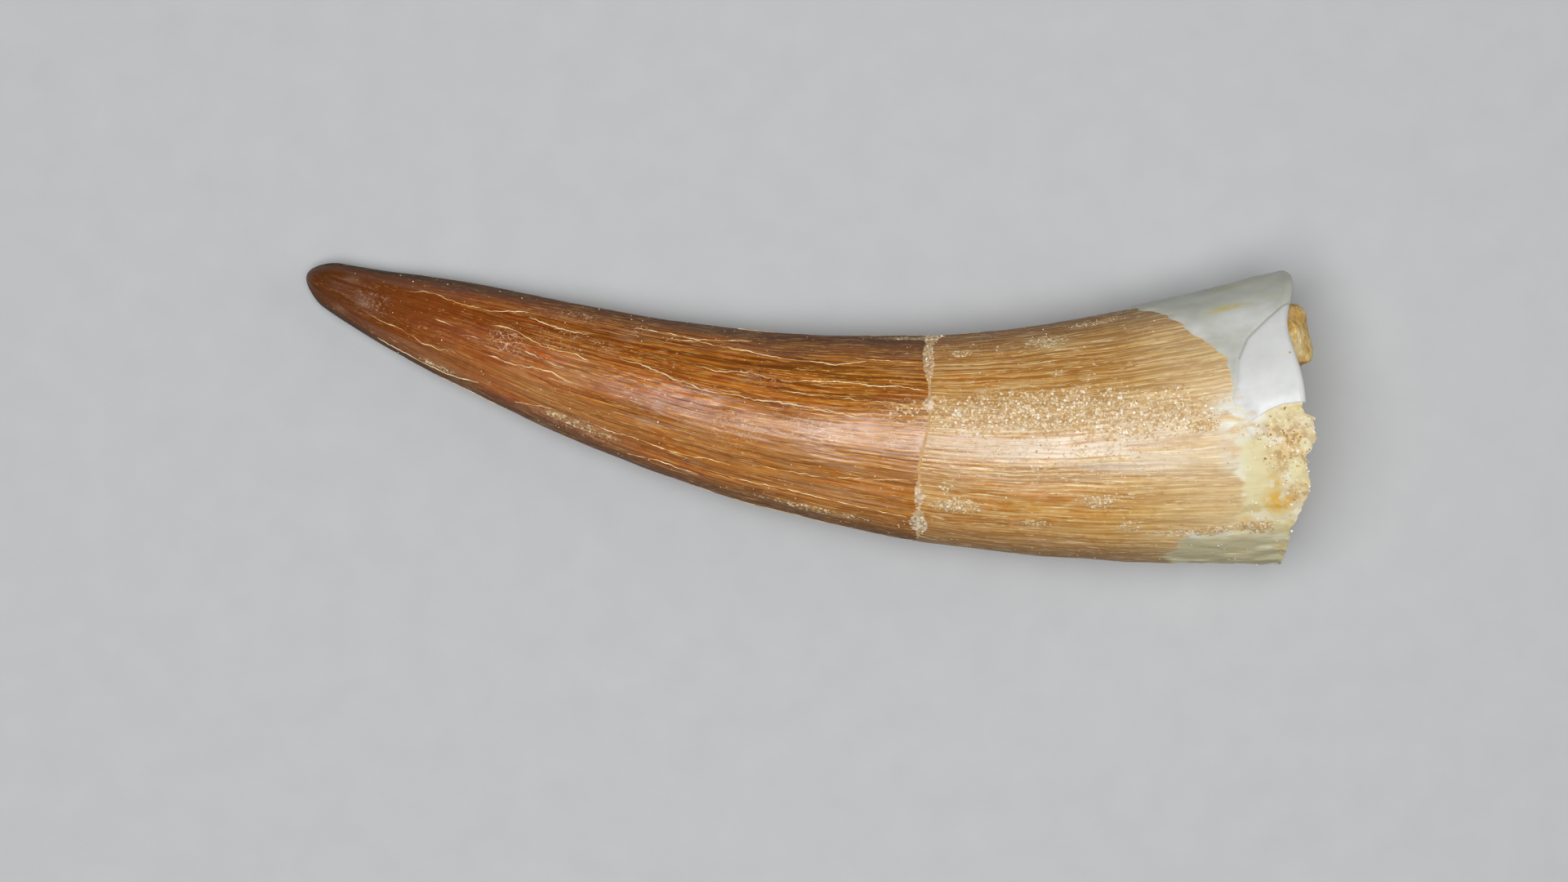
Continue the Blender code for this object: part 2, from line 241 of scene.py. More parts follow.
# enamel ridges: fine, nearly parallel, every other one starting further from the tip
ridgeLook = {
    "count": 150,
    "firstStart": (2.0, 8.0),
    "secondStart": (20.0, 36.0),
    "fadeIn": 4.0,
    "height": 0.038, "highest": 1.3,
    "spread": 0.26,  # of the spacing
    "sparseSpread": 0.8,  # how much wider they are where there are half as many
    "offset": 0.2,
    "strength": (0.45, 1.0),
    "sway": 0.09,
    "swayLengths": (3.3, 1.3), "shortSway": 0.5,
    "swell": (0.72, 0.24, 0.2),  # the mean height, and how much the long and the short wave add
    "swellLengths": (2.3, 0.8),
    "drift": (0.2, (6.0, 2.8, 2.8), 3, 2),  # for roughAt: how whole groups of ridges wander sideways
    "driftFadeIn": 6,
    "seed": 5,
}


def driftAt(x, turn):
    # ridges and streaks wander together, so they never cross
    away = roughAt(straightPlaces(x, turn), ridgeLook["drift"])
    return away * smoothStep(x / ridgeLook["driftFadeIn"]) / toothForm["straightRadius"]


def ridgesAt(x, turn):
    # heights from 0 to about 1
    look = ridgeLook
    rng = np.random.default_rng(look["seed"])
    count = look["count"]
    start = rng.uniform(*look["firstStart"], count)
    start[1::2] = rng.uniform(*look["secondStart"], count // 2)
    offset = rng.uniform(-look["offset"], look["offset"], count)
    phases = rng.uniform(0, fullTurn, (4, count))
    strength = rng.uniform(*look["strength"], count)
    spacing = fullTurn / count
    radius = np.maximum(radiusAt(x), 0.1)
    sparse = 1 - between(x, *look["secondStart"])
    spread = look["spread"] * spacing * radius * (1 + look["sparseSpread"] * sparse)
    nearest = np.rint(turn / spacing).astype(int)
    mean, longSwell, shortSwell = look["swell"]
    total = np.zeros_like(x)
    for step in range(-3, 4):
        k = (nearest + step) % count
        waves = zip((*look["swayLengths"], *look["swellLengths"]), phases)
        longSway, shortSway, longWave, shortWave = (np.sin(x / length + phase[k]) for length, phase in waves)
        sway = look["sway"] * (longSway + look["shortSway"] * shortSway)
        place = (nearest + step + offset[k] + sway) * spacing
        swell = mean + longSwell * longWave + shortSwell * shortWave
        present = smoothStep((x - start[k]) / look["fadeIn"])
        total += present * strength[k] * swell * bell((turn - place) * radius / spread)
    return np.clip(total, 0, look["highest"])


# cracks filled with pale sediment, as seen from above: x and y on the plane of the tooth's axis
crackLook = {
    "halfWidth": (0.02, 0.036),  # fine and bold
    "step": 0.13,
    "wobble": (0.08, 0.36, 6, 3),
    "halo": 0.13,  # of darker enamel beside a crack
    "pastEnds": 0.3,  # how far the halo runs on past a crack's ends
    "bold": (
        ((19.5, -5.3), (20.8, -5.7), (21.8, -6.1), (22.8, -6.6), (23.7, -6.8), (24.5, -7.2), (25.5, -7.4),
         (26.5, -7.5), (27.6, -7.8), (28.6, -7.9), (30.1, -8.1), (32.0, -8.5), (34.2, -8.9)),
        ((14.1, -2.9), (15.9, -3.5), (17.6, -3.9)),
        ((11.8, -3.3), (13.0, -3.5), (13.9, -4.0), (14.9, -4.6), (15.9, -4.9), (17.0, -5.1), (18.0, -5.7)),
        ((11.4, -5.0), (12.2, -5.3), (13.2, -5.7), (14.4, -5.9), (15.4, -6.1), (16.2, -6.6), (17.6, -7.1)),
        ((5.1, -4.1), (6.2, -4.7), (7.5, -5.4), (9.1, -6.2), (9.9, -6.5), (11.1, -6.8)),
        ((30.3, -6.6), (32.8, -6.7), (34.8, -7.0), (36.2, -7.0), (38.0, -7.3)),
    ),
    "fine": (
        ((6.8, -1.3), (8.2, -1.4), (9.6, -1.9), (10.5, -2.2), (11.9, -2.5), (13.0, -2.5), (14.1, -2.6)),
        ((4.2, -2.4), (5.0, -3.0), (6.2, -3.5), (7.0, -3.9), (7.5, -4.3), (8.8, -4.8), (9.6, -4.9)),
        ((13.3, -7.9), (14.4, -8.1), (15.8, -8.4)),
        ((8.1, -2.8), (9.1, -3.2), (9.9, -3.5)),
        ((22.8, -4.2), (24.2, -4.3), (26.5, -4.8), (29.1, -5.3), (30.7, -5.5), (32.4, -5.7), (34.2, -5.5)),
        ((23.9, -5.7), (25.5, -6.1), (27.3, -6.1), (28.1, -6.4), (29.4, -6.6), (32.0, -6.7), (33.5, -6.8)),
        ((18.0, -9.3), (19.2, -9.8), (20.3, -10.0), (22.1, -10.7), (23.4, -11.1), (24.7, -11.3),
         (26.1, -11.7)),
        ((20.0, -11.0), (21.0, -11.2), (22.1, -11.5), (23.1, -11.9), (24.2, -12.2)),
        ((30.3, -8.0), (31.6, -8.3), (33.0, -8.6), (35.1, -8.8), (36.8, -9.0), (37.8, -9.1)),
        ((25.2, -8.6), (26.1, -8.0)),
        ((25.3, -6.6), (25.9, -6.1)),
        ((32.7, -13.1), (33.9, -13.2)),
        ((9.8, -3.9), (12.5, -4.3), (15.0, -5.4), (18.6, -6.9)),
        ((18.0, -6.3), (19.6, -6.4), (21.2, -7.0), (22.6, -7.3)),
        ((20.4, -3.5), (22.2, -3.8), (24.0, -4.2), (27.4, -4.3)),
        ((26.0, -12.4), (29.6, -13.2), (33.4, -14.1), (36.6, -14.8)),
        ((27.5, -11.7), (31.2, -12.3), (36.8, -12.6)),
        ((33.5, -5.3), (36.0, -5.5), (38.0, -5.6)),
        ((29.0, -7.2), (31.2, -7.5), (34.6, -7.9), (37.9, -8.2)),
    ),
    "hidden": {  # more of the same on the sides that the camera doesn't see, turns in degrees
        "count": 46, "x": (5, 33), "turn": (175, 365), "slope": 0.12, "bend": 0.16,
        "strengths": (0.4, 0.6, 1.0), "points": (6, 22), "apart": (0.35, 0.7),
    },
    "seed": 21,
}


def crackRoutes():
    # every route as (distances along, turns, strength), in even small steps
    look, hidden = crackLook, crackLook["hidden"]
    rng = random.Random(look["seed"])
    rough = []
    for key, strength in (("bold", 1.0), ("fine", 0.5)):
        rough += [([seenAt(spot) for spot in route], strength) for route in look[key]]
    for _ in range(hidden["count"]):
        x, turn = rng.uniform(*hidden["x"]), math.radians(rng.uniform(*hidden["turn"]))
        slope, strength = rng.uniform(-hidden["slope"], hidden["slope"]), rng.choice(hidden["strengths"])
        points = []
        for _ in range(rng.randint(*hidden["points"])):
            points.append((x, turn))
            x += rng.uniform(*hidden["apart"])
            bend = slope + rng.uniform(-hidden["bend"], hidden["bend"])
            turn += bend * 0.5 / max(1.5, float(radiusAt(x)))
        rough.append((points, strength))
    routes = []
    for number, (points, strength) in enumerate(rough):
        pointX, pointTurn = np.array(points).T
        count = max(8, round((pointX[-1] - pointX[0]) / look["step"]))
        x = np.linspace(pointX[0], pointX[-1], count)
        turn = np.interp(x, pointX, pointTurn)
        places = np.stack((x, 0 * x + 7.7 * number, 0 * x), -1)
        wobble = roughAt(places, look["wobble"])
        routes.append((x, turn + wobble / np.maximum(radiusAt(x), 1), strength))
    return routes


def cracksAt(x, turn, routes):
    # darker enamel beside the cracks: 1 on a crack, falling off over the halo
    total = np.zeros_like(x)
    radius = radiusAt(x)
    margin = crackLook["pastEnds"]
    for routeX, routeTurn, strength in routes:
        near = np.nonzero((x > routeX[0] - margin) & (x < routeX[-1] + margin))[0]
        gap = turnGap(turn[near], np.interp(x[near], routeX, routeTurn)) * radius[near]
        total[near] = np.maximum(total[near], strength * bell(gap / crackLook["halo"]))
    return total


# what shows only in spots, as seen from above: middle x and y, half sizes, strength
spotLook = {
    "sand": (
        (44.6, -8.6, 7.6, 1.3, 0.8), (50.4, -8.9, 4.8, 1.2, 0.6), (42.2, -7.9, 2.4, 0.8, 0.35),
        (42.9, -8.5, 1.4, 1.0, 1.0), (48.8, -8.3, 0.6, 1.1, 1.0), (39.5, -14.1, 1.2, 0.5, 1.0),
        (39.0, -13.0, 0.4, 0.3, 1.0), (48.0, -13.9, 1.0, 0.45, 0.9), (53.6, -15.7, 2.2, 0.4, 0.55),
        (39.9, -5.0, 0.6, 0.3, 0.9), (44.9, -4.3, 1.2, 0.6, 1.0), (48.0, -3.2, 1.5, 0.35, 1.0),
        (49.8, -15.4, 0.5, 0.4, 0.9), (55.3, -15.6, 0.8, 0.4, 0.9), (54.3, -9.3, 0.9, 0.35, 1.0),
        (52.3, -7.2, 1.1, 0.25, 0.7), (44.3, -15.2, 0.8, 0.3, 0.7), (37.0, -4.1, 2.0, 0.4, 0.9),
        (57.4, -15.4, 1.1, 0.5, 0.9), (16.9, -9.3, 2.4, 0.4, 0.5), (8.6, -5.8, 1.2, 0.3, 0.4),
        (31.0, -14.3, 3.5, 0.4, 0.35), (46.5, -11.0, 9.0, 3.0, 0.16),
    ),
    "scuff": (
        (12.8, -4.3, 1.0, 0.8, 0.8), (4.8, -1.9, 1.3, 0.8, 0.3), (17.1, -2.8, 1.5, 0.5, 0.6),
        (16.1, -4.1, 1.6, 0.7, 0.5), (16.9, -9.4, 2.2, 0.8, 0.55), (26.4, -9.4, 1.6, 1.1, 0.6),
        (18.4, -4.6, 0.6, 0.4, 0.8), (20.6, -3.6, 0.7, 0.4, 0.7), (31.3, -9.7, 2.4, 0.8, 0.6),
        (36.4, -10.4, 1.8, 0.8, 0.5), (28.2, -6.4, 1.2, 0.5, 0.35),
    ),
    "crust": (
        (59.6, -10.6, 1.3, 1.8, 1.0), (58.2, -9.6, 1.6, 0.6, 0.8), (60.0, -13.4, 0.8, 0.8, 0.8),
        (57.8, -15.3, 1.0, 0.4, 0.7),
    ),
    "ochre": (
        (58.8, -13.9, 0.9, 0.9, 1.0), (58.4, -12.8, 0.6, 0.5, 0.8), (56.9, -15.0, 1.0, 0.35, 0.8),
        (56.7, -8.9, 0.5, 0.5, 0.7),
    ),
    "smear": (
        (56.6, -9.3, 1.2, 1.1, 1.0), (56.0, -8.6, 1.1, 1.1, 1.0), (56.0, -11.2, 0.7, 1.2, 0.5),
        (57.5, -14.9, 1.3, 0.5, 0.5), (53.9, -15.9, 2.1, 0.35, 0.9),
    ),
    # pale worn enamel along the crest, which is also a painted highlight
    "worn": (
        (46.5, -10.6, 8.6, 1.2, 0.65), (50.5, -10.8, 5.0, 1.8, 0.6), (43.5, -12.4, 6.8, 1.1, 0.15),
        (33.2, -10.0, 4.2, 0.8, 0.4), (29.0, -9.8, 3.4, 0.8, 0.35), (34.3, -13.6, 2.6, 0.8, 0.3),
    ),
    # mostly a painted sheen below and beside the highlight, with pale dust by the break
    "haze": (
        (16.4, -8.0, 7.0, 1.1, 0.8), (23.5, -9.9, 6.0, 1.5, 0.9), (30.5, -11.7, 6.5, 2.0, 1.0),
        (8.5, -5.4, 4.0, 0.5, 0.4), (17.0, -6.1, 1.5, 1.4, 0.7), (36.5, -11.6, 1.4, 2.2, 1.0),
        (36.7, -5.6, 1.2, 1.8, 1.0),
    ),
    "glow": (
        (29.3, -7.1, 4.4, 1.1, 1.0), (16.6, -5.8, 2.6, 1.0, 0.8), (11.8, -6.2, 2.6, 0.9, 0.7),
        (34.0, -13.0, 3.2, 1.0, 0.7), (20.5, -5.0, 2.6, 1.2, 0.6), (21.3, -6.9, 2.6, 1.0, 0.8),
        (25.5, -5.0, 4.2, 0.9, 0.6), (35.6, -7.3, 2.8, 1.0, 0.8), (41.2, -6.5, 3.0, 1.2, 0.9),
        (43.0, -13.8, 5.5, 1.5, 0.8),
    ),
}
spotPlaces = {
    key: [(*seenAt((x, y)), halfX, halfY, strength) for x, y, halfX, halfY, strength in spots]
    for key, spots in spotLook.items()
}


def spotsAt(key, x, turn):
    total = np.zeros_like(x)
    radius = radiusAt(x)
    for *spot, strength in spotPlaces[key]:
        total = np.maximum(total, strength * np.exp(-(awayFrom(x, turn, radius, spot) ** 1.5)))
    return total


# the old break and the broken root end
breakLook = {"x": 37.6, "slant": 0.10, "rough": (0.55, 3.2, 4, 1)}
rimLook = {
    "x": 59.5, "rough": (0.35, 2.2, 9, 1),
    "chip": {"y": -8.5, "z": 2.5, "radius": 6.5, "depth": 0.85},
}


# the glue bead in the break, heaped in places and hardly there in others
beadLook = {
    "halfWidth": 0.2,
    "heaps": (  # middle as seen from above, spread in radians, extra half width, extra height
        ((38.1, -5.2), 0.34, 0.15, 0.07),
        ((37.5, -4.1), 0.12, 0.42, 0.14),
        ((38.4, -8.1), 0.07, 0.26, 0.10),
        ((37.5, -13.5), 0.10, 0.08, 0.07),
        ((37.3, -15.2), 0.22, 0.30, 0.12),
    ),
    "underWidth": 0.14, "underHeight": 0.07,  # extra on the side that the tooth lies on
    "sunk": 0.1, "proud": -0.06, "highest": 0.3,
    "uneven": (0.3, 1.1, 71, 3), "ragged": (1.0, 0.32, 72, 2), "sidesApart": 0.8,
    "swell": (0.7, 1.6, 73, 2), "meanSwell": 0.9, "crownPower": 2.2,
    "lumps": (0.10, 0.5, 74, 3), "sandy": (0.035, 0.16, 75, 2),
    # how much of it there is where the bead is thin, and how much a full heap or an open break adds
    "raggedShares": (0.05, 0.9), "lumpShares": (0.25, 0.75),
    "faceShare": 0.12,  # of the rows, for each broken face
}


def heapsAt(turn):
    # extra half width and height of the bead, and how far the break stands open, from 0 to 1
    under = smoothStep(-np.sin(turn))
    wider, higher, opened = beadLook["underWidth"] * under, beadLook["underHeight"] * under, under
    for spot, spread, extraWidth, extraHeight in beadLook["heaps"]:
        near = bell(turnGap(turn, seenAt(spot)[1]) / spread)
        wider = wider + extraWidth * near
        higher = higher + extraHeight * near
        opened = np.maximum(opened, near)
    return wider, higher, opened


def roughFace(look, y, z):
    return roughAt(np.stack((0 * y, y, z), -1), look["rough"])


def breakPlane(y, z):
    look = breakLook
    return look["x"] + look["slant"] * (y - bowAt(look["x"])) + roughFace(look, y, z)


def rimPlane(y, z):
    look, chip = rimLook, rimLook["chip"]
    midY, midZ = bowAt(look["x"]), heightAt(look["x"])
    away = np.hypot(y - midY - chip["y"], z - midZ - chip["z"]) / chip["radius"]
    return look["x"] - chip["depth"] * limited(1 - away**2) + roughFace(look, y, z)


def edgeAt(plane, startX, turn):
    # how far along the tooth's surface meets a plane across it, at this turn
    x = np.full_like(turn, startX)
    for _ in range(3):
        places = toothPlaces(x, turn)
        x = x + plane(places[:, 1], places[:, 2]) - places[:, 0]
    return x


# the filler patch on the root end, as wide as a wedge that opens towards the rim
patchLook = {
    "turns": (math.radians(-75), math.radians(90)),
    "apexX": 50.4,
    "apexTurn": math.radians(2),
    "flare": 4.6,
    "rimX": 59.3,
    "dip": {"turn": math.radians(50), "width": math.radians(20), "depth": 0.85},
    "tongue": {"turn": math.radians(86), "width": math.radians(14), "depth": 0.8},
    "edgeRough": (0.5, 1.3, 31, 3), "edgeRadius": 6,
    "waves": (0.03, 2.4, 81, 2), "wavesFullAt": 3, "fine": (0.012, 0.6, 82, 3),
    "wall": 0.5,
    "proud": 0.1, "sunk": 0.06,
    "feather": 0.6,  # the thin margin that only fills the valleys between ridges
    "corner": math.radians(6.5),  # cut off its side on top, towards the rim
    "cornerFrom": 55.2, "cornerLength": 3.0,
    "roll": 0.5,
    "layerStep": 0.025, "layerSoft": 0.5,
    "layerEdge": (
        (59.4, -1.9), (58.5, -2.7), (56.9, -4.2), (56.4, -5.4), (56.3, -6.8), (55.9, -8.0), (55.2, -9.2),
    ),
    "creaseWidth": 0.06, "creaseDepth": 0.04,
    "boldCreases": 3, "faintCrease": 0.25,  # the crease is faint past this many steps of the edge
    "shadeFrom": math.radians(50), "shadeSoft": 0.5,
    "stainRadius": 8,  # of the tooth there
    "stains": (  # middle, turn, half length, half width
        (55.9, seenAt((55.7, -2.4))[1], 2.0, 0.32),
        (57.0, math.radians(14), 1.6, 0.5),
    ),
}


def patchStart(turn):
    tongue = patchLook["tongue"]
    straight = patchLook["apexX"] + patchLook["flare"] * np.abs(turn - patchLook["apexTurn"])
    straight = straight - tongue["depth"] * bell((turn - tongue["turn"]) / tongue["width"])
    return straight + roughAt(alongOnly(turn * patchLook["edgeRadius"]), patchLook["edgeRough"])


def patchEnd(turn):
    dip = patchLook["dip"]
    end = patchLook["rimX"] - dip["depth"] * bell((turn - dip["turn"]) / dip["width"])
    x = end
    for _ in range(3):
        x = x + end - toothPlaces(x, turn)[:, 0]
    return x


def patchTurns(x):
    first, last = patchLook["turns"]
    cut = smoothStep((x - patchLook["cornerFrom"]) / patchLook["cornerLength"])
    return first, last - patchLook["corner"] * cut


def patchReach(x, turn):
    # millimetres in from the patch's edge, less than 0 outside it
    wrapped = turnGap(turn, 0)
    first, last = patchTurns(x)
    sides = np.minimum(wrapped - first, last - wrapped) * radiusAt(x)
    return np.minimum(x - patchStart(wrapped), sides)


# fossil enamel, the outer surface of both fragments
enamelLook = {
    "undulation": (0.09, (5, 2.6, 2.6), 8, 2),
    "fine": (0.014, (0.5, 0.22, 0.22), 15, 2),
    "worn": (1.6, (7, 3, 3), 3, 1), "wornTo": 0.55,  # ridges are lower in places
    "noseWorn": (1.2, 7.0), "noseTone": 0.55,  # and fade towards the tip
    "noseSmooth": 1.5,
    "edgeDrop": 0.1,
    "edgeReach": 0.22,
    "seamGap": (0.04, 0.13),  # from the break's middle to each fragment, where it is closed and open
    "closedWear": 0.3,
    "splinters": 0.1, "splinterGrain": 0.5,  # along the break
    "chips": 0.3, "chipGrain": 1.4,
    "pits": 70,
    "pitSpread": (2, 58),  # along the tooth
    "pitSize": (0.2, 0.42), "pitLonger": 1.6,
    "pitDepth": 0.05, "pitShares": (0.3, 1.0),
    "pitSeed": 12,
    "ridgeScale": 0.75,  # on the tip fragment
}
routesOfCracks = crackRoutes()
print("crack routes:", len(routesOfCracks))


def pitsAt(x, turn):
    look = enamelLook
    rng = random.Random(look["pitSeed"])
    total, radius = np.zeros_like(x), radiusAt(x)
    low, high = float(x.min()), float(x.max())
    for _ in range(look["pits"]):
        px, pt = rng.uniform(*look["pitSpread"]), rng.uniform(0, fullTurn)
        size, deep = rng.uniform(*look["pitSize"]), rng.uniform(*look["pitShares"])
        if low - 1 < px < high + 1:
            away = awayFrom(x, turn, radius, (px, pt, look["pitLonger"] * size, size))
            total = np.maximum(total, deep * np.exp(-away))
    return total


def enamelDetail(x, turn, ridgeScale):
    # how far the surface stands out, and what the shader reads
    look = enamelLook
    drift = driftAt(x, turn)
    straight = straightPlaces(x, turn + drift)
    worn = look["wornTo"] + (1 - look["wornTo"]) * smoothStep(0.9 + roughAt(straight, look["worn"]))
    nose = between(x, *look["noseWorn"])
    ridges = ridgesAt(x, turn + drift)
    pits = pitsAt(x, turn)
    lift = roughAt(straight, look["undulation"])
    lift += ridgeLook["height"] * ridgeScale * worn * nose * (ridges - 0.5)
    lift += roughAt(straight, look["fine"]) - look["pitDepth"] * pits
    carried = {"ridge": limited(ridges * nose + look["noseTone"] * (1 - nose)), "pit": pits}
    for key in spotLook:
        carried[key] = spotsAt(key, x, turn)
    return lift * smoothStep(x / look["noseSmooth"]), straight, carried


def turnsRound(v):
    # once round, from the strip that the tooth lies on
    return -math.pi / 2 + fullTurn * v


def onBreak(turn):
    # places for noise that is the same all along the tooth
    return straightPlaces(0 * turn + breakLook["x"], turn)


def brokenEdge(turn, side, seed):
    # how far along a fragment ends at the break, and how worn the edge is; side is -1 for the tip's
    look = enamelLook
    closed, wide = look["seamGap"]
    opened = heapsAt(turn)[2]
    chipped = look["closedWear"] + (1 - look["closedWear"]) * opened
    splinters = look["splinters"] * noiseAt(onBreak(turn), look["splinterGrain"], seed, 2)
    chips = look["chips"] * limited(noiseAt(onBreak(turn), look["chipGrain"], seed + 2) - 0.2)
    edge = edgeAt(breakPlane, breakLook["x"], turn) + side * (closed + (wide - closed) * opened)
    return edge + chipped * (splinters + side * chips), chipped


def edgeDropAt(away, chipped):
    return chipped * enamelLook["edgeDrop"] * np.exp(-away / enamelLook["edgeReach"])


def tipPlaces(u, v):
    # rows run from the tip, where they lie closer, over the outside and the broken face
    faceShare, soft = 0.03, 0.04  # both as shares of the rows
    turn = turnsRound(v)
    edge, chipped = brokenEdge(turn, -1, 41)
    outer = limited(u / (1 - faceShare))
    x = edge * ((np.sqrt(outer**2 + soft**2) - soft) / (math.sqrt(1 + soft**2) - soft))
    share = limited((1 - u) / faceShare)
    lift, straight, carried = enamelDetail(x, turn, enamelLook["ridgeScale"])
    carried["halo"] = cracksAt(x, turn, routesOfCracks)
    lift -= edgeDropAt(edge - x, chipped)
    return toothPlaces(x, turn, share, lift), straight, carried


# the root end: broken face, outside, the rim's thickness and the pulp cavity
rootLook = {
    "rows": (0.03, 0.79, 0.90, 0.98),  # shares of the rows at which each of the first four ends
    "wall": 2.6, "cavityX": 45.2, "cavityRadius": 1.6,
    "lap": 0.3,  # how much further the filler reaches
    "rimDrop": 0.2, "rimDropReach": 0.3,
    "rimRough": (0.09, 0.7, 55, 2), "rimUneven": (1.0, 0.7, 57, 2), "faceRough": (0.22, 0.8, 58, 3),
    "fadeFrom": 47, "fadeLength": 10,  # the ridges and the brown fade
    "ridgeScale": 0.85, "fadedRidges": 0.6,
    "lowTurn": math.radians(172), "lowReach": 0.66, "lowSoft": 0.22,  # where the dentine starts earlier
    "dentineFrom": 55.3, "earlier": 3.8, "borderBefore": 0.4, "borderLength": 0.9,
    "borderRough": (0.8, 2.6, 61, 3), "borderFine": (0.35, (1.5, 0.35, 0.35), 63, 2),
    "dentineDepth": 0.06, "dentineRough": (0.07, (1.1, 0.8, 0.8), 62, 4), "reliefGone": 0.8,
    "underFiller": 0.02, "underMargin": 0.06, "underPatch": 0.6,  # how far down the surface lies there
    "flatBefore": 0.35, "flatLength": 0.5, "patchFrom": 1.6,  # in from the filler's edge
}


def rootPlaces(u, v):
    look = rootLook
    faceEnd, outsideEnd, rimEnd, cavityEnd = look["rows"]
    patchFirst, patchLast = patchLook["turns"]
    turn = turnsRound(v)
    first, chipped = brokenEdge(turn, 1, 51)
    wrapped = turnGap(turn, 0)
    behindPatch = smoothStep(np.minimum(wrapped - patchFirst, patchLast - wrapped) / 0.05)
    last = edgeAt(rimPlane, rimLook["x"], turn) + roughAt(onBreak(turn), look["rimRough"])
    last = last + behindPatch * (np.minimum(last, patchEnd(wrapped) - look["lap"]) - last)
    outside = evenBetween(u, faceEnd, outsideEnd)
    acrossRim = evenBetween(u, outsideEnd, rimEnd)
    intoCavity = evenBetween(u, rimEnd, cavityEnd)
    x = first + (last - first) * outside
    inner = 1 - look["wall"] / radiusAt(last)
    share = limited(u / faceEnd) * (1 + (inner - 1) * acrossRim)
    narrowed = radiusAt(last) * inner * (1 - intoCavity) + look["cavityRadius"] * intoCavity
    x = np.where(u > rimEnd, last + (look["cavityX"] - last) * intoCavity, x)
    share = np.where(u > rimEnd, narrowed / radiusAt(x), share)
    share = np.where(u > cavityEnd, share * evenBetween(u, 1, cavityEnd), share)
    fade = smoothStep((x - look["fadeFrom"]) / look["fadeLength"])
    lift, straight, carried = enamelDetail(x, turn, look["ridgeScale"] - look["fadedRidges"] * fade)
    onOutside = (u >= faceEnd) & (u <= outsideEnd + 1e-6)
    straight = np.where(onOutside[:, None], straight, straightPlaces(x, turn, share))
    # bare dentine where the enamel ends, lower down on the bulging side
    low = smoothStep((look["lowReach"] - np.abs(turnGap(turn, look["lowTurn"]))) / look["lowSoft"])
    start = look["dentineFrom"] - look["earlier"] * low
    start = start + roughAt(straightPlaces(0 * x, turn), look["borderRough"])
    start += roughAt(straight, look["borderFine"])
    bare = smoothStep((x - start + look["borderBefore"]) / look["borderLength"])
    lift = lift * (1 - look["reliefGone"] * bare) - look["dentineDepth"] * bare
    lift += bare * roughAt(straight, look["dentineRough"])
    reach = patchReach(x, turn)
    # flat under the filler's margin, well below it further in
    lift += (-look["underFiller"] - lift) * smoothStep((reach + look["flatBefore"]) / look["flatLength"])
    lift -= look["underMargin"] * limited(reach / patchLook["feather"])
    lift -= look["underPatch"] * smoothStep(reach - look["patchFrom"])
    lift -= edgeDropAt(x - first, chipped)
    rounded = look["rimDrop"] * np.exp(-np.clip(last - x, 0, 9) / look["rimDropReach"])
    lift -= rounded * np.clip(1 + roughAt(straight, look["rimUneven"]), 0.2, 2)
    lift = np.where(onOutside | (u < faceEnd), lift, 0)
    places = toothPlaces(x, turn, share, lift)
    places[:, 0] += (acrossRim > 0) * (acrossRim < 1) * roughAt(places, look["faceRough"])
    carried["bare"] = np.where(onOutside, bare, np.where(u > outsideEnd, 1.0, 0.0))
    carried["olive"] = low
    carried["fade"] = fade
    carried["cover"] = limited(reach) * onOutside
    return places, straight, carried


def beadPlaces(u, v):
    # across one broken face, over the outside and back across the other
    look = beadLook
    faceShare = look["faceShare"]
    turn = turnsRound(v)
    middle = edgeAt(breakPlane, breakLook["x"], turn)
    band = evenBetween(u, faceShare, 1 - faceShare) * 2 - 1
    atBreak = onBreak(turn)
    wider, heaped, opened = heapsAt(turn)
    half = look["halfWidth"] * (1 + roughAt(atBreak, look["uneven"])) + wider
    (thinRagged, moreRagged), (thinLumps, moreLumps) = look["raggedShares"], look["lumpShares"]
    ragged = roughAt(atBreak + alongOnly(band * look["sidesApart"]), look["ragged"])
    ragged *= thinRagged + moreRagged * heaped
    x = middle + band * half + ragged * np.abs(band)
    share = limited(np.minimum(u, 1 - u) / faceShare)
    straight = straightPlaces(x, turn, share)
    crown = np.sqrt(limited(1 - np.abs(band) ** look["crownPower"]))
    here = look["meanSwell"] + roughAt(atBreak, look["swell"])
    lift = -look["sunk"] + (look["proud"] + look["sunk"] + heaped) * crown * here
    lift += roughAt(straight, look["lumps"]) * crown * (thinLumps + moreLumps * opened)
    lift += roughAt(straight, look["sandy"])
    lift = np.minimum(lift, look["highest"])
    carried = {"thick": limited(heaped * 9)}
    return toothPlaces(x, turn, share, lift * (share > 0.999)), straight, carried


def layerAt(x, turn):
    # which side of the second layer's edge a point is on, and the crease along it
    route = [seenAt(spot) for spot in patchLook["layerEdge"]]
    radius = radiusAt(x)
    best, side, upper = np.full_like(x, 9.0), np.zeros_like(x), np.zeros_like(x)
    for number, ((x0, t0), (x1, t1)) in enumerate(zip(route, route[1:])):
        ax, ay = x - x0, (turn - t0) * radius
        bx, by = x1 - x0, (t1 - t0) * radius
        share = limited((ax * bx + ay * by) / (bx * bx + by * by))
        away = np.hypot(ax - share * bx, ay - share * by)
        side = np.where(away < best, np.sign(ax * by - ay * bx), side)
        strength = 1.0 if number < patchLook["boldCreases"] else patchLook["faintCrease"]
        upper = np.where(away < best, strength, upper)
        best = np.minimum(best, away)
    layer = smoothStep(0.5 + side * best / patchLook["layerSoft"])
    return layer, bell(best / patchLook["creaseWidth"]) * upper


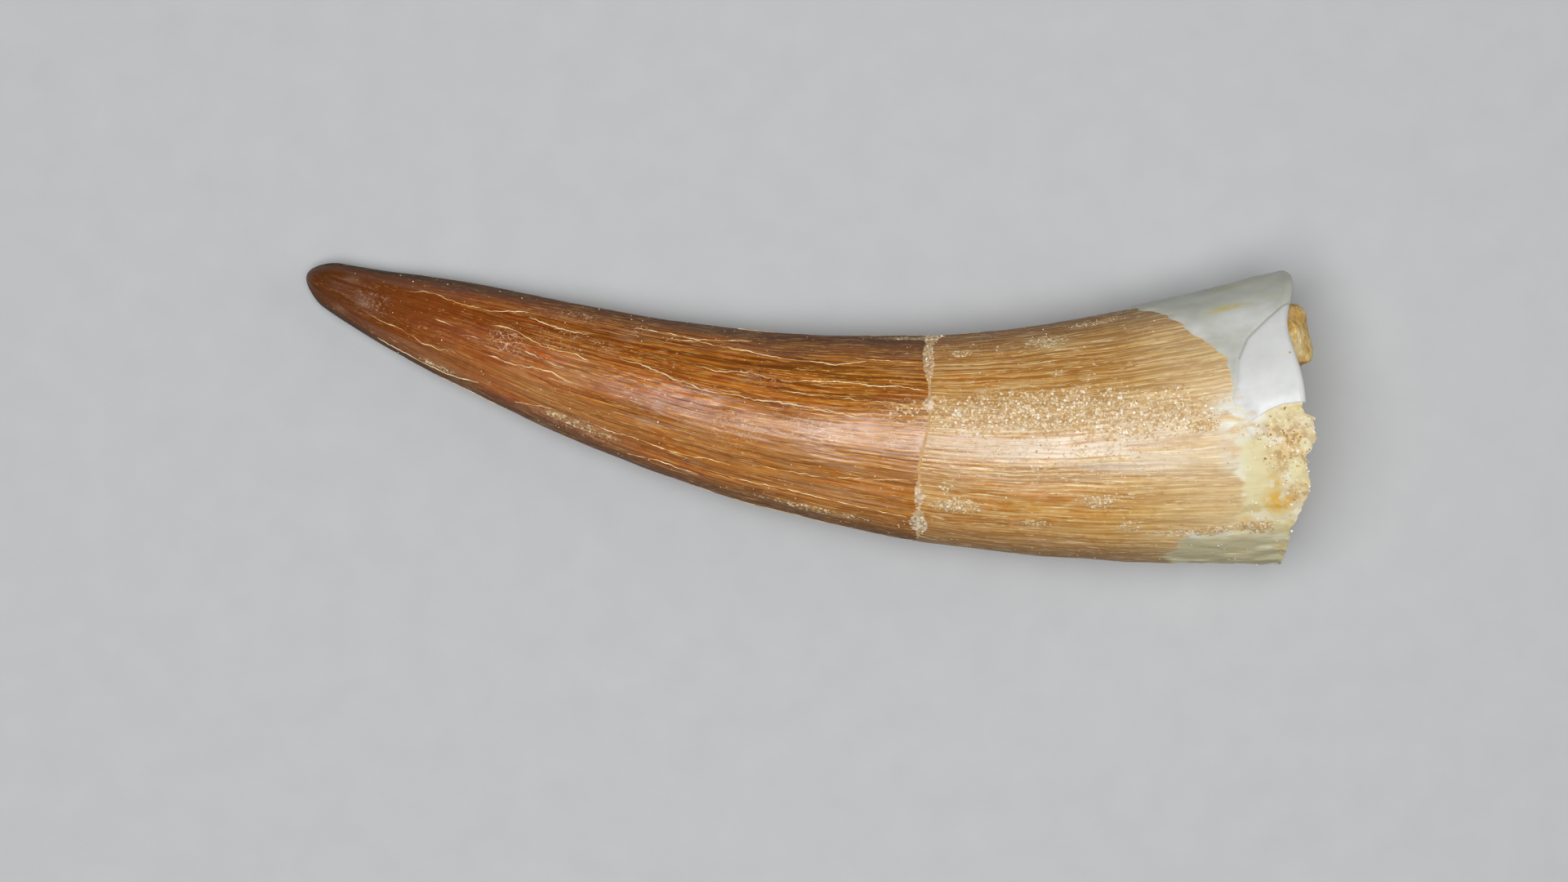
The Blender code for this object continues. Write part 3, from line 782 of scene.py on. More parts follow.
def patchPlaces(u, v):
    look = patchLook
    margin = look["feather"]
    first, last = look["turns"]
    turn = first + (last - first) * v
    run = 0.5 * u + 0.5 * np.sin(u * math.pi / 2)  # rows gather at the rim
    for _ in range(3):
        start, end = patchStart(turn) - margin, patchEnd(turn)
        x = start + (end - start) * run
        turn = first + (patchTurns(x)[1] - first) * v
    straight = straightPlaces(x, turn)
    reach = patchReach(x, turn)
    lift = -look["sunk"] + (look["proud"] + look["sunk"]) * smoothStep((reach + margin) / (2 * margin))
    lift += (1 + smoothStep(reach / look["wavesFullAt"])) * roughAt(straight, look["waves"])
    lift += roughAt(straight, look["fine"])
    toRim = np.clip(end - x, 0, look["roll"])
    lift -= look["roll"] - np.sqrt(look["roll"] ** 2 - (look["roll"] - toRim) ** 2)
    layer, crease = layerAt(x, turn)
    lift += look["layerStep"] * (layer - 0.5) - look["creaseDepth"] * crease
    stain = np.zeros_like(x)
    for spot in look["stains"]:
        stain = np.maximum(stain, np.exp(-awayFrom(x, turn, look["stainRadius"], spot)))
    carried = {"layer": layer, "crease": crease, "thin": limited(1 - reach / margin)}
    carried["shade"] = smoothStep((look["shadeFrom"] - turn) / look["shadeSoft"])
    carried["stain"] = stain
    return toothPlaces(x, turn, 1.0, lift), straight, carried


tipEnamel = wrapGrid("tipEnamel", 164, 600, tipPlaces)
rootEnamel = wrapGrid("rootEnamel", 124, 800, rootPlaces)
glueBead = wrapGrid("glueBead", 36, 640, beadPlaces)
fillerSkin = wrapGrid("fillerSkin", 150, 260, patchPlaces, joined=False)
if sum(face.normal.z for face in fillerSkin.data.polygons) < 0:
    fillerSkin.data.flip_normals()
fillerWall = fillerSkin.modifiers.new("wall", "SOLIDIFY")
fillerWall.thickness = patchLook["wall"] * mm
fillerWall.offset = -1  # inwards


# sandstone in the pulp cavity, from the frame's own plug made rough; x and y as in the frame, in millimetres
plugLook = {
    "voxel": 0.2, "coarse": (0.14, 1.3, 91, 3), "fine": (0.05, 0.4, 92, 2),
    "limits": (-0.3, 0.22),  # of the roughness
    "pastRim": 28.6, "spillLength": 0.8, "slimmer": 0.1, "aside": 0.35,
    "slantFrom": 2.7, "slantTo": 6.4, "slant": 0.5,  # the spill stands out less and less between these y
    "brokenFrom": 27.4, "brokenLength": 0.9,  # the end face
    "hollows": (1.0, 2.6, 93, 3), "hollowMean": 0.1, "hollowLimits": (-0.15, 1), "hollowDepth": 0.8,
}


def sandstoneFrom(name, node):
    look = plugLook
    bm = bmesh.new()
    bm.from_mesh(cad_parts[node].data)
    bmesh.ops.remove_doubles(bm, verts=bm.verts, dist=0.001 * mm)
    rough = pieceOf(name + "Rough", bm)
    remesh = rough.modifiers.new("even", "REMESH")
    remesh.mode = "VOXEL"
    remesh.voxel_size = look["voxel"] * mm
    bpy.context.view_layer.update()
    mesh = bpy.data.meshes.new_from_object(rough.evaluated_get(bpy.context.evaluated_depsgraph_get()))
    bpy.data.objects.remove(rough)
    bm = bmesh.new()
    bm.from_mesh(mesh)
    bm.normal_update()
    places = spotsIn(bm.verts) / mm
    shift = roughAt(places, look["coarse"]) + roughAt(places, look["fine"])
    spilt = smoothStep((places[:, 0] - look["pastRim"]) / look["spillLength"])
    upward = between(places[:, 1], look["slantFrom"], look["slantTo"])
    inwards = spilt * (look["slimmer"] + look["slant"] * upward)
    endFace = smoothStep((places[:, 0] - look["brokenFrom"]) / look["brokenLength"]) * (1 - spilt)
    hollows = np.clip(roughAt(places, look["hollows"]) + look["hollowMean"], *look["hollowLimits"])
    inwards += look["hollowDepth"] * endFace * hollows
    moved = np.stack((-inwards, look["aside"] * spilt * upward, 0 * spilt), -1) * mm
    for vert, amount, step in zip(bm.verts, (np.clip(shift, *look["limits"]) * mm).tolist(), moved.tolist()):
        vert.co += vert.normal * amount + Vector(step)
    return pieceOf(name, bm)


sandstonePlug = sandstoneFrom("sandstonePlug", "matrix_plug")


# pale sediment in the cracks: a thin thread along each route, flush with the enamel
threadLook = {
    "swell": (0.6, 0.6, 131, 3), "limits": (0.5, 1.7),  # of the half width
    "taper": 0.8,
    "proud": 0.03, "edgesDown": 0.034,
    "tone": (0.35, 0.45),  # of the faintest, and how much more the boldest has
    "toneSpread": (1.3, 0.8), "toneGrain": (0.5, 132, 3),  # and how much less uneven it is
}


def crackThreads(name):
    look = threadLook
    slim, bold = crackLook["halfWidth"]
    (faintTone, moreTone), (faintSpread, lessSpread) = look["tone"], look["toneSpread"]
    bm = bmesh.new()
    toneLayer = bm.verts.layers.float.new("tone")
    for number, (x, turn, strength) in enumerate(routesOfCracks):
        spots = np.stack((x, 0 * x, 0 * x + 3.1 * number), -1)
        swell = 1 + roughAt(spots, look["swell"])
        taper = smoothStep(np.minimum(x - x[0], x[-1] - x) / look["taper"])
        half = (slim + (bold - slim) * strength) * np.clip(swell, *look["limits"]) * taper
        radius = np.maximum(radiusAt(x), 1)
        dx, dy = np.gradient(x), np.gradient(turn) * radius
        length = np.hypot(dx, dy)
        grid = bmesh.ops.create_grid(bm, x_segments=len(x) - 1, y_segments=2, size=0.5)["verts"]
        shares = spotsIn(grid)[:, :2]
        row = np.rint((shares[:, 0] + 0.5) * (len(x) - 1)).astype(int)
        side = shares[:, 1] * 2
        px = x[row] - dy[row] / length[row] * half[row] * side
        pt = turn[row] + dx[row] / length[row] * half[row] * side / radius[row]
        lift = enamelDetail(px, pt, enamelLook["ridgeScale"])[0] + look["proud"]
        lift = lift - look["edgesDown"] * np.abs(side)
        uneven = (faintSpread - lessSpread * strength) * noiseAt(spots, *look["toneGrain"])
        tone = limited(faintTone + moreTone * strength + uneven)[row]
        for vert, place, value in zip(grid, toMetres(toothPlaces(px, pt, 1.0, lift)).tolist(), tone.tolist()):
            vert.co = place
            vert[toneLayer] = value
    bm.normal_update()
    return pieceOf(name, bm)


crackFilling = crackThreads("crackFilling")


# loose sand grains, each a squashed twenty-sided bead, stuck on the finished surfaces
grainLook = {
    "sunk": 0.25,  # of the radius
    "scatter": 0.09,
    "squash": (0.6, 1.3),
    "usual": 1.3,  # times the smallest radius
    "clusterGrain": 1.3,
    "tipClusters": (121, 0.3), "rootClusters": (122, 0.28), "rimClusters": (123, 0.1),  # seed, lowest noise
    # how many, which random seed, and the smallest and largest radius
    "onTip": {"count": 600, "seed": 111, "size": (0.022, 0.065)},
    "onRoot": {"count": 2200, "seed": 112, "size": (0.022, 0.07)},
    "atSeam": {"count": 460, "seed": 113, "size": (0.03, 0.085)},
    "atRim": {"count": 1000, "seed": 114, "size": (0.035, 0.1)},
    # how likely grains are anywhere, in clusters and on the sandy spots
    "tipShares": (0.01, 0.12, 1.2), "rootShares": (0.006, 0.03, 1.0), "rimShares": (0.004, 0.03, 0.3),
    "seamShare": 0.02,
    "tipBetween": (3, 37.3),  # millimetres from the tip
    "rootUntil": 58.8,
    "rimFrom": 59.0,
    "outsideOfRim": {"middle": (-0.45, 8.0), "radius": 6.6},  # y and z in the frame
    "outsideOfSeam": {"middle": (-1.6, 5.6), "radius": 5.4},
}


def carriedBy(piece, key):
    values = np.empty(len(piece.data.vertices))
    piece.data.attributes[key].data.foreach_get("value", values)
    return values


def grainsOn(name, piece, weights, count, seed, size, batch=60):
    # weights say how likely each of the piece's points is to hold a grain
    picker, rng = np.random.default_rng(seed), random.Random(seed)
    chosen = picker.choice(len(weights), size=count, p=weights / weights.sum()).tolist()
    scatter = grainLook["scatter"]
    whole, held = bmesh.new(), bpy.data.meshes.new("held")
    for first in range(0, count, batch):
        bm = bmesh.new()
        toneLayer = bm.verts.layers.float.new("tone")
        for index in chosen[first : first + batch]:
            spot = piece.data.vertices[index]
            radius = rng.triangular(*size, size[0] * grainLook["usual"]) * mm
            loose = Vector((rng.gauss(0, scatter), rng.gauss(0, scatter), rng.gauss(0, scatter))) * mm
            loose -= spot.normal * loose.dot(spot.normal)
            place = spot.co + loose - spot.normal * grainLook["sunk"] * radius
            place.z = max(place.z, radius)
            squash = Matrix.Diagonal([radius * rng.uniform(*grainLook["squash"]) for _ in range(3)] + [1])
            angle = rng.uniform(0, fullTurn)
            axis = Vector((rng.gauss(0, 1), rng.gauss(0, 1), 1))
            matrix = Matrix.Translation(place) @ Matrix.Rotation(angle, 4, axis) @ squash
            made = bmesh.ops.create_icosphere(bm, subdivisions=1, radius=1, matrix=matrix)
            tone = rng.random()
            for vert in made["verts"]:
                vert[toneLayer] = tone
        bm.to_mesh(held)
        bm.free()
        whole.from_mesh(held)
    bpy.data.meshes.remove(held)
    return pieceOf(name, whole, 25)


def clustersAt(spots, seed, lowest):
    return noiseAt(spots, grainLook["clusterGrain"], seed, 3) > lowest


def outsideOf(key, spots):
    y, z = grainLook[key]["middle"]
    away = np.hypot(spots[:, 1] - y, (spots[:, 2] - z) / toothForm["heightToWidth"])
    return away > grainLook[key]["radius"]


tipSpots, rootSpots, beadSpots = (
    spotsIn(piece.data.vertices) / mm for piece in (tipEnamel, rootEnamel, glueBead)
)
tipX, rootX = tipSpots[:, 0] + toothForm["middle"][0], rootSpots[:, 0] + toothForm["middle"][0]

tipFrom, tipUntil = grainLook["tipBetween"]
clustered = clustersAt(tipSpots, *grainLook["tipClusters"])
onTip = (tipX > tipFrom) * (tipX < tipUntil)
anywhere, inClusters, onSpots = grainLook["tipShares"]
tipWeights = onTip * (anywhere + inClusters * clustered + onSpots * carriedBy(tipEnamel, "sand") ** 2)
tipWeights = tipWeights * radiusAt(np.clip(tipX, 0.1, 60))
sandOnTip = grainsOn("sandOnTip", tipEnamel, tipWeights, **grainLook["onTip"])

clustered = clustersAt(rootSpots, *grainLook["rootClusters"])
bareHere = carriedBy(rootEnamel, "bare")
uncovered = carriedBy(rootEnamel, "cover") < 0.02
onEnamel = uncovered * (rootX < grainLook["rootUntil"]) * (bareHere < 0.5)
anywhere, inClusters, onSpots = grainLook["rootShares"]
rootWeights = onEnamel * (anywhere + inClusters * clustered + onSpots * carriedBy(rootEnamel, "sand") ** 1.5)
sandOnRoot = grainsOn("sandOnRoot", rootEnamel, rootWeights, **grainLook["onRoot"])

crusty = clustersAt(rootSpots, *grainLook["rimClusters"])
rimWeights = uncovered * (bareHere > 0.9) * outsideOf("outsideOfRim", rootSpots)
anywhere, inClusters, onRim = grainLook["rimShares"]
onRim = onRim * (rootX > grainLook["rimFrom"]) * crusty
rimWeights = rimWeights * (anywhere + inClusters * crusty + carriedBy(rootEnamel, "crust") + onRim)
sandAtRim = grainsOn("sandAtRim", rootEnamel, rimWeights, **grainLook["atRim"])

seamWeights = outsideOf("outsideOfSeam", beadSpots) * (grainLook["seamShare"] + carriedBy(glueBead, "thick"))
sandAtSeam = grainsOn("sandAtSeam", glueBead, seamWeights, **grainLook["atSeam"])
print("grains laid")


# colours and materials

def linear(hexText):
    parts = [int(hexText[i : i + 2], 16) / 255 for i in (1, 3, 5)]
    return (*(c / 12.92 if c <= 0.04045 else ((c + 0.055) / 1.055) ** 2.4 for c in parts), 1.0)


def addNode(tree, kind, settings=None, inputs=None):
    # settings are the node's own; inputs are sockets to link, colours in hex or plain values
    made = tree.nodes.new("ShaderNode" + kind)
    for key, value in (settings or {}).items():
        if key != "stops":
            setattr(made, key, value)
            continue
        elements = made.color_ramp.elements
        while len(elements) < len(value):
            elements.new(0.5)
        for element, (place, colour) in zip(elements, value):
            element.position, element.color = place, linear(colour)
    for key, value in (inputs or {}).items():
        if isinstance(value, bpy.types.NodeSocket):
            tree.links.new(value, made.inputs[key])
        else:
            made.inputs[key].default_value = linear(value) if isinstance(value, str) else value
    return made


class Paint:
    # a material, and the few steps that its colours are built from

    def __init__(self, name):
        self.material = bpy.data.materials.new(name)
        self.material.use_nodes = True
        self.tree = self.material.node_tree
        self.shader = self.tree.nodes["Principled BSDF"]

    def add(self, kind, settings=None, inputs=None):
        return addNode(self.tree, kind, settings, inputs).outputs

    @cached_property
    def place(self):
        return self.add("TexCoord")["Object"]

    @cached_property
    def straight(self):
        return self.read("straight", "Vector")

    def read(self, key, output="Fac"):
        return self.add("Attribute", {"attribute_name": key})[output]

    def maths(self, operation, *values):
        return self.add("Math", {"operation": operation}, dict(enumerate(values)))["Value"]

    def product(self, first, second):
        return self.maths("MULTIPLY", first, second)

    def spread(self, value, low, high, bottom=0.0, top=1.0, kind="LINEAR"):
        limits = {"From Min": low, "From Max": high, "To Min": bottom, "To Max": top}
        return self.add("MapRange", {"interpolation_type": kind}, {"Value": value, **limits})["Result"]

    def within(self, value, low, high, top=1.0):
        # soft rise from nothing at low to top at high, which may be the smaller of the two
        return self.spread(value, low, high, 0.0, top, "SMOOTHSTEP")

    def over(self, base, top, share, blend="MIX"):
        return self.add("Mix", {"data_type": "RGBA", "blend_type": blend}, {0: share, 6: base, 7: top})[2]

    def ramp(self, stops, value):
        return self.add("ValToRGB", {"stops": stops}, {"Fac": value})["Color"]

    def cloud(self, size, detail):
        # even spots of this size in millimetres
        return self.add("TexNoise", None, {"Vector": self.place, "Scale": 1 / (size * mm), "Detail": detail})

    def cells(self, size):
        # packed grains of this size in millimetres
        return self.add("TexVoronoi", None, {"Vector": self.place, "Scale": 1 / (size * mm)})

    def pattern(self, length, width, shift=0, detail=3.0):
        # cloudy spots of this length along the tooth and this width round it, in millimetres
        mapped = self.add("Mapping", None, {
            "Vector": self.straight, "Location": (shift, 1.7 * shift, 0.6 * shift),
            "Scale": (1 / length, 1 / width, 1 / width)})
        return self.add("TexNoise", None, {"Vector": mapped["Vector"], "Scale": 1.0, "Detail": detail})["Fac"]

    def layers(self, colour, tints, rows):
        # each row: a tint, the pattern it comes in, the limits of that pattern, and where it is laid
        for key, cloud, limits, where in rows:
            share = self.within(self.pattern(*cloud), *limits)
            colour = self.over(colour, tints[key], share if where is None else self.product(share, where))
        return colour

    def bump(self, strength, distance, height, under=None, invert=False):
        # distance in millimetres; under is a coarser bump that this one lies on
        inputs = {"Strength": strength, "Distance": distance * mm, "Height": height}
        if under is not None:
            inputs["Normal"] = under
        return self.add("Bump", {"invert": invert}, inputs)["Normal"]

    def done(self, colour, roughness, normal=None):
        for key, value in (("Base Color", colour), ("Roughness", roughness), ("Normal", normal)):
            if isinstance(value, bpy.types.NodeSocket):
                self.tree.links.new(value, self.shader.inputs[key])
            elif value is not None:
                self.shader.inputs[key].default_value = value
        return self.material


# fossil enamel: old polished apatite, satin, stained brown by iron, streaked along the ridges
amberLook = {
    "name": "amber fossil enamel",
    "alongFrom": 0.0, "alongTo": 38.0,
    "stops": (
        (0.0, "#4e2806"), (0.1, "#64310a"), (0.22, "#7d3707"), (0.36, "#984308"), (0.6, "#b26214"),
        (1.0, "#ca8424"),
    ),
    "darkBlotch": "#6a340a", "paleBlotch": "#b46c20",
    # the valley tint is painted shade between the ridges, the crest tint a painted highlight on them
    "valleyShade": "#5f300a", "crestHighlight": "#bd7a30",
    "streakDark": "#5f2f06", "streakPale": "#c67c28", "hair": "#e6b468",
    # the side and foot tints are painted shade on the flanks
    "side": "#36220a", "sideShadeFrom": 4.9, "footShade": "#33260f", "speck": "#dcc0a0",
    # the haze tint is mostly a painted sheen, with some pale dust
    # the worn tint is real wear that also stands in for a painted highlight along the crest
    "glow": "#b85206", "halo": "#743810", "haze": "#b8834f", "worn": "#cfa47c",
    "valleyShadeShare": 0.4, "upperValleyShade": 0.5, "streakShare": 0.46,
    "roughness": 0.29, "duller": 0.45,
}
tanLook = {
    "name": "tan fossil enamel",
    "alongFrom": 38.0, "alongTo": 60.0,
    "stops": ((0.0, "#c28432"), (0.25, "#ca9445"), (0.55, "#d1a65c"), (0.8, "#d6b478"), (1.0, "#dac490")),
    "darkBlotch": "#a2682a", "paleBlotch": "#d6b070",
    # the valley tint is painted shade between the ridges, the crest tint a painted highlight on them
    "valleyShade": "#935d22", "crestHighlight": "#dab674",
    "streakDark": "#935a1e", "streakPale": "#e0c080", "hair": "#f0dcae",
    # the side and foot tints are painted shade on the flanks
    "side": "#6a4c20", "sideShadeFrom": 5.3, "footShade": "#6c4e1c", "speck": "#ecdfca",
    # the haze tint is mostly a painted sheen, with some pale dust
    # the worn tint is real wear that also stands in for a painted highlight along the crest
    "glow": "#c67618", "haze": "#c89a5c", "worn": "#dacfbc",
    "valleyShadeShare": 0.36, "upperValleyShade": 0.42, "streakShare": 0.48,
    "roughness": 0.36, "duller": 0.3,
}
dentineLook = {
    "base": "#d5ca9c", "pale": "#dfd9c2", "tan": "#c8b07a",
    "crust": ("#a98349", "#d6bb84"), "ochre": "#cfa02e", "olive": "#b4aa85",
    "faded": "#d8c498", "smear": "#dadbd0",
}
stuckSand = {
    "grain": 0.14,
    "stops": ((0.0, "#b78c50"), (0.3, "#c9a268"), (0.6, "#d8bc8c"), (0.85, "#e8dabc"), (1.0, "#faf3e6")),
    "gap": "#8c6630", "dust": "#cbb384",
}


def bareDentine(paint):
    # pale, stained and crusted
    read, pattern, within = paint.read, paint.pattern, paint.within
    crust = paint.over(*dentineLook["crust"], within(pattern(0.35, 0.3, 21), 0.4, 0.6))
    return paint.layers(dentineLook["base"], {**dentineLook, "crust": crust}, (
        ("pale", (1.6, 1.2, 11, 4), (0.46, 0.6, 0.8), None),
        ("tan", (1.3, 0.9, 12, 4), (0.52, 0.64, 0.75), None),
        ("crust", (0.9, 0.8, 22, 4), (0.34, 0.5), read("crust")),
        ("ochre", (0.8, 0.6, 23, 4), (0.34, 0.5, 0.95), read("ochre")),
        ("olive", (3, 0.8, 13), (0.36, 0.56), read("olive")),
    ))


def fossilEnamel(look, root):
    paint = Paint(look["name"])
    read, pattern, within = paint.read, paint.pattern, paint.within
    over, product, maths = paint.over, paint.product, paint.maths
    parts = paint.add("SeparateXYZ", None, {0: paint.straight})
    sideways = parts["Y"]
    flank = maths("ABSOLUTE", sideways)
    ridge, sand = read("ridge"), read("sand")
    # lines fade out towards the tip, where clouds take over, and pale ones on the flanks
    lined = within(parts["X"], 3.0, 17.0)
    lit = product(lined, paint.spread(flank, 5.0, 6.6, 1.0, 0.3))
    colour = paint.ramp(look["stops"], paint.spread(parts["X"], look["alongFrom"], look["alongTo"]))
    colour = paint.layers(colour, look, (
        ("glow", (3, 1.4, 1), (0.32, 0.62), product(read("glow"), 0.85)),
        ("darkBlotch", (6, 2.2, 2, 4), (0.5, 0.72, 0.5), None),
        ("paleBlotch", (5, 1.6, 3, 4), (0.5, 0.7, 0.45), lined),
        ("darkBlotch", (14, 0.6, 4, 4), (0.52, 0.68, 0.32), lined),
    ))
    cloud = paint.cloud(0.55, 4.0)["Fac"]
    colour = over(colour, look["streakDark"], within(cloud, 0.47, 0.36, 0.34))
    colour = over(colour, look["streakPale"], product(within(cloud, 0.55, 0.68, 0.3), lined))
    if not root:
        colour = over(colour, look["halo"], product(read("halo"), 0.4))
    # mostly a painted sheen below and beside the highlight, with pale dust by the break
    colour = paint.layers(colour, look, [("haze", (4, 1.2, 26, 4), (0.25, 0.52, 0.85), read("haze"))])
    # painted shade: darker low on both flanks, where the light falls off
    colour = over(colour, look["side"], within(sideways, look["sideShadeFrom"], 6.7, 0.88))
    colour = over(colour, look["footShade"], within(sideways, -5.3, -6.8, 0.75))
    # painted shade in the valleys between the ridges, deepest on the hollow side of the bow, and a painted
    # highlight on the crests
    deepest = look["valleyShadeShare"] + look["upperValleyShade"]
    deep = paint.spread(sideways, 0.0, 5.0, look["valleyShadeShare"], deepest)
    colour = over(colour, look["valleyShade"], product(within(ridge, 0.5, 0.08), product(deep, lined)))
    colour = over(colour, look["crestHighlight"], product(within(ridge, 0.6, 1.0, 0.22), lit))
    flecked = within(pattern(4, 2, 29), 0.4, 0.6)
    colour = paint.layers(colour, look, (
        ("streakDark", (9, 0.26, 30), (0.52, 0.6, 0.45), lined),
        ("streakPale", (8, 0.24, 31), (0.54, 0.62, 0.4), lit),
        ("streakDark", (5, 0.11, 5), (0.53, 0.62, look["streakShare"]), lined),
        ("streakPale", (4, 0.1, 6), (0.55, 0.64, look["streakShare"]), lit),
        ("hair", (1.6, 0.07, 7, 2), (0.61, 0.67, 0.75), lined),
        ("hair", (0.5, 0.08, 28, 2), (0.63, 0.69, 0.6), flecked),
        # the last row: pale worn enamel along the crest, which is also a painted highlight
        ("worn", (3, 0.4, 27, 4), (0.3, 0.6), read("worn")),
    ))
    if root:
        colour = over(colour, dentineLook["faded"], product(read("fade"), 0.42))
        ragged = maths("ADD", read("bare"), maths("MULTIPLY_ADD", pattern(1.6, 0.3, 14, 4), 0.9, -0.45))
        bare = within(ragged, 0.12, 0.88)
        colour = over(colour, bareDentine(paint), bare)
        smear = ("smear", (1.4, 0.5, 15, 4), (0.36, 0.56, 0.9), read("smear"))
        colour = paint.layers(colour, dentineLook, [smear])
    # curls and powder on scuffs, dust specks 0.1 mm across
    curls = maths("ABSOLUTE", maths("SUBTRACT", paint.cloud(0.42, 2.0)["Fac"], 0.5))
    scratched = product(within(curls, 0.028, 0.008), within(pattern(1.1, 0.8, 24), 0.42, 0.56))
    colour = over(colour, look["speck"], product(read("scuff"), scratched))
    dots = paint.add("TexVoronoi", None, {"Vector": paint.straight, "Scale": 2.6})
    chosen = paint.add("SeparateColor", None, {"Color": dots["Color"]})["Red"]
    dust = product(within(dots["Distance"], 0.2, 0.08), within(chosen, 0.7, 0.74, 0.8))
    colour = paint.layers(colour, look, (
        ("speck", (0.16, 0.16, 25, 2), (0.6, 0.68, 0.8), read("scuff")),
        ("speck", (3.5, 2.5, 17), (0.5, 0.62), dust),
    ))
    # sand: grains with dark gaps, brown to white, fewer and fewer towards its edge
    grains = paint.cells(stuckSand["grain"])
    each = paint.add("SeparateColor", None, {"Color": grains["Color"]})
    gaps = product(within(grains["Distance"], 0.45, 0.7, 0.6), within(sand, 0.25, 0.7))
    grainTint = over(paint.ramp(stuckSand["stops"], each["Red"]), stuckSand["gap"], gaps)
    thinned = maths("SUBTRACT", maths("MULTIPLY_ADD", pattern(1.0, 0.6, 18, 4), 1.5, sand), each["Green"])
    sandy = product(within(thinned, 0.7, 0.8, 0.85), within(sand, 0.02, 0.3))
    colour = over(colour, stuckSand["dust"], product(sand, 0.35))
    colour = over(colour, grainTint, sandy)
    colour = over(colour, look["speck"], product(read("pit"), 0.12))
    # handled smooth on top, dull on the flanks and in the sand
    roughness = maths("MULTIPLY_ADD", pattern(2, 0.5, 19, 4), 0.24, look["roughness"] - 0.12)
    roughness = maths("MULTIPLY_ADD", sandy, 0.25, roughness)
    roughness = maths("ADD", within(flank, 4.5, 6.8, look["duller"]), roughness)
    if root:
        roughness = maths("MULTIPLY_ADD", bare, 0.25, roughness)
        roughness = maths("MULTIPLY_ADD", read("fade"), 0.14, roughness)
    paint.shader.inputs["IOR"].default_value = 1.6  # apatite
    paint.shader.inputs["Specular IOR Level"].default_value = 0.4
    fine = paint.bump(0.4, 0.03, pattern(1.4, 0.12, 20))
    return paint.done(colour, roughness, paint.bump(0.8, 0.06, sandy, fine))


def tonedFrom(name, stops, size, share, roughness):
    # every grain or thread in its own tone, with a fine cloud of this size over it
    paint = Paint(name)
    tint = paint.ramp(stops, paint.read("tone"))
    return paint.done(paint.over(tint, paint.cloud(size, 2.0)["Color"], share, "OVERLAY"), roughness)


# cemented dust in the cracks: matt, cream to ochre
def crackSediment():
    stops = ((0.0, "#9c6429"), (0.35, "#c08b4c"), (0.65, "#dfb87c"), (1.0, "#f2deb2"))
    return tonedFrom("crack sediment", stops, 0.12, 0.4, 0.6)


# loose grains: clear to yellow quartz, a little gloss on each
def quartzSand():
    stops = ((0.0, "#a17c4a"), (0.25, "#be9a64"), (0.55, "#d3b784"), (0.8, "#e6d3ae"), (1.0, "#fbf6ee"))
    return tonedFrom("quartz sand", stops, 0.09, 0.35, 0.42)


# fine quartz and phosphate sand set in old glue: matt, light and dark grains
def sandyGlue():
    paint = Paint("sandy glue")
    grains = paint.cells(0.22)
    stops = ((0.0, "#80664a"), (0.25, "#b39a78"), (0.55, "#d6c2a2"), (0.8, "#ebdfca"), (1.0, "#fbf6ee"))
    toned = paint.over(paint.ramp(stops, grains["Color"]), paint.cloud(1.6, 3.0)["Color"], 0.25, "MULTIPLY")
    mixed = paint.over(toned, "#cba873", 0.2)
    # where the glue is thin it has taken the enamel's brown
    colour = paint.over("#c0945a", mixed, paint.spread(paint.read("thick"), 0.0, 1.0, 0.12))
    return paint.done(colour, 0.72, paint.bump(0.6, 0.06, grains["Distance"], invert=True))


# yellow phosphatic sandstone: matt, loose grained, ochre with pale crust
def yellowSandstone():
    paint = Paint("yellow phosphatic sandstone")
    largeStops = ((0.34, "#97692a"), (0.44, "#b58a3e"), (0.54, "#c8a358"), (0.66, "#dcc694"))
    grains = paint.cells(0.28)
    grainStops = ((0.0, "#a37a38"), (0.5, "#d8b974"), (1.0, "#f2e4ba"))
    large = paint.ramp(largeStops, paint.cloud(2.2, 4.0)["Fac"])
    colour = paint.over(large, paint.ramp(grainStops, grains["Color"]), 0.36)
    return paint.done(colour, 0.88, paint.bump(0.7, 0.08, grains["Distance"], invert=True))


# repair filler: smoothed plaster and glue, faintly glossy, grey white with a yellow smear
def paleFiller():
    paint = Paint("pale repair filler")
    read, pattern, over, product = paint.read, paint.pattern, paint.over, paint.product
    stops = ((0.32, "#b6b7ac"), (0.5, "#c7c8be"), (0.68, "#d5d5cf"))
    colour = paint.ramp(stops, pattern(2.4, 1.8, 0, 4))
    colour = over(colour, "#d0d0ce", product(read("layer"), 0.7))
    colour = over(colour, "#a3a491", product(read("shade"), 0.5))
    stain = paint.within(pattern(1.2, 0.5, 0, 4), 0.36, 0.6, 0.8)
    colour = over(colour, "#bfae5c", product(read("stain"), stain))
    colour = over(colour, "#8c8b78", product(read("crease"), 0.7))
    # the ridges under its thin margin show through
    thin = paint.maths("ADD", read("thin"), paint.maths("SUBTRACT", pattern(4.0, 0.22, 0, 4), 0.5))
    colour = over(colour, "#cbb184", paint.within(thin, 0.85, 1.2, 0.5))
    roughness = paint.maths("MULTIPLY_ADD", pattern(0.6, 0.6, 0, 4), 0.2, 0.36)
    return paint.done(colour, roughness, paint.bump(0.35, 0.05, pattern(0.7, 0.6, 0, 4)))


def dress(piece, material, slotName, *nodes):
    piece.data.materials.clear()
    piece.data.materials.append(material)
    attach(piece, "root")
    if nodes:
        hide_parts(*nodes)


looseSand = quartzSand()
dress(tipEnamel, fossilEnamel(amberLook, False), "amber_enamel", "tip_fragment")
dress(rootEnamel, fossilEnamel(tanLook, True), "tan_enamel", "root_fragment")
dress(glueBead, sandyGlue(), "sandy_glue", "glue_seam")
dress(sandstonePlug, yellowSandstone(), "yellow_sandstone", "matrix_plug")
dress(fillerSkin, paleFiller(), "pale_filler", "filler_patch")
for grains in (sandOnTip, sandOnRoot, sandAtSeam):
    dress(grains, looseSand, "sandy_glue")
dress(crackFilling, crackSediment(), "sandy_glue")
dress(sandAtRim, looseSand, "yellow_sandstone")
print("materials on")


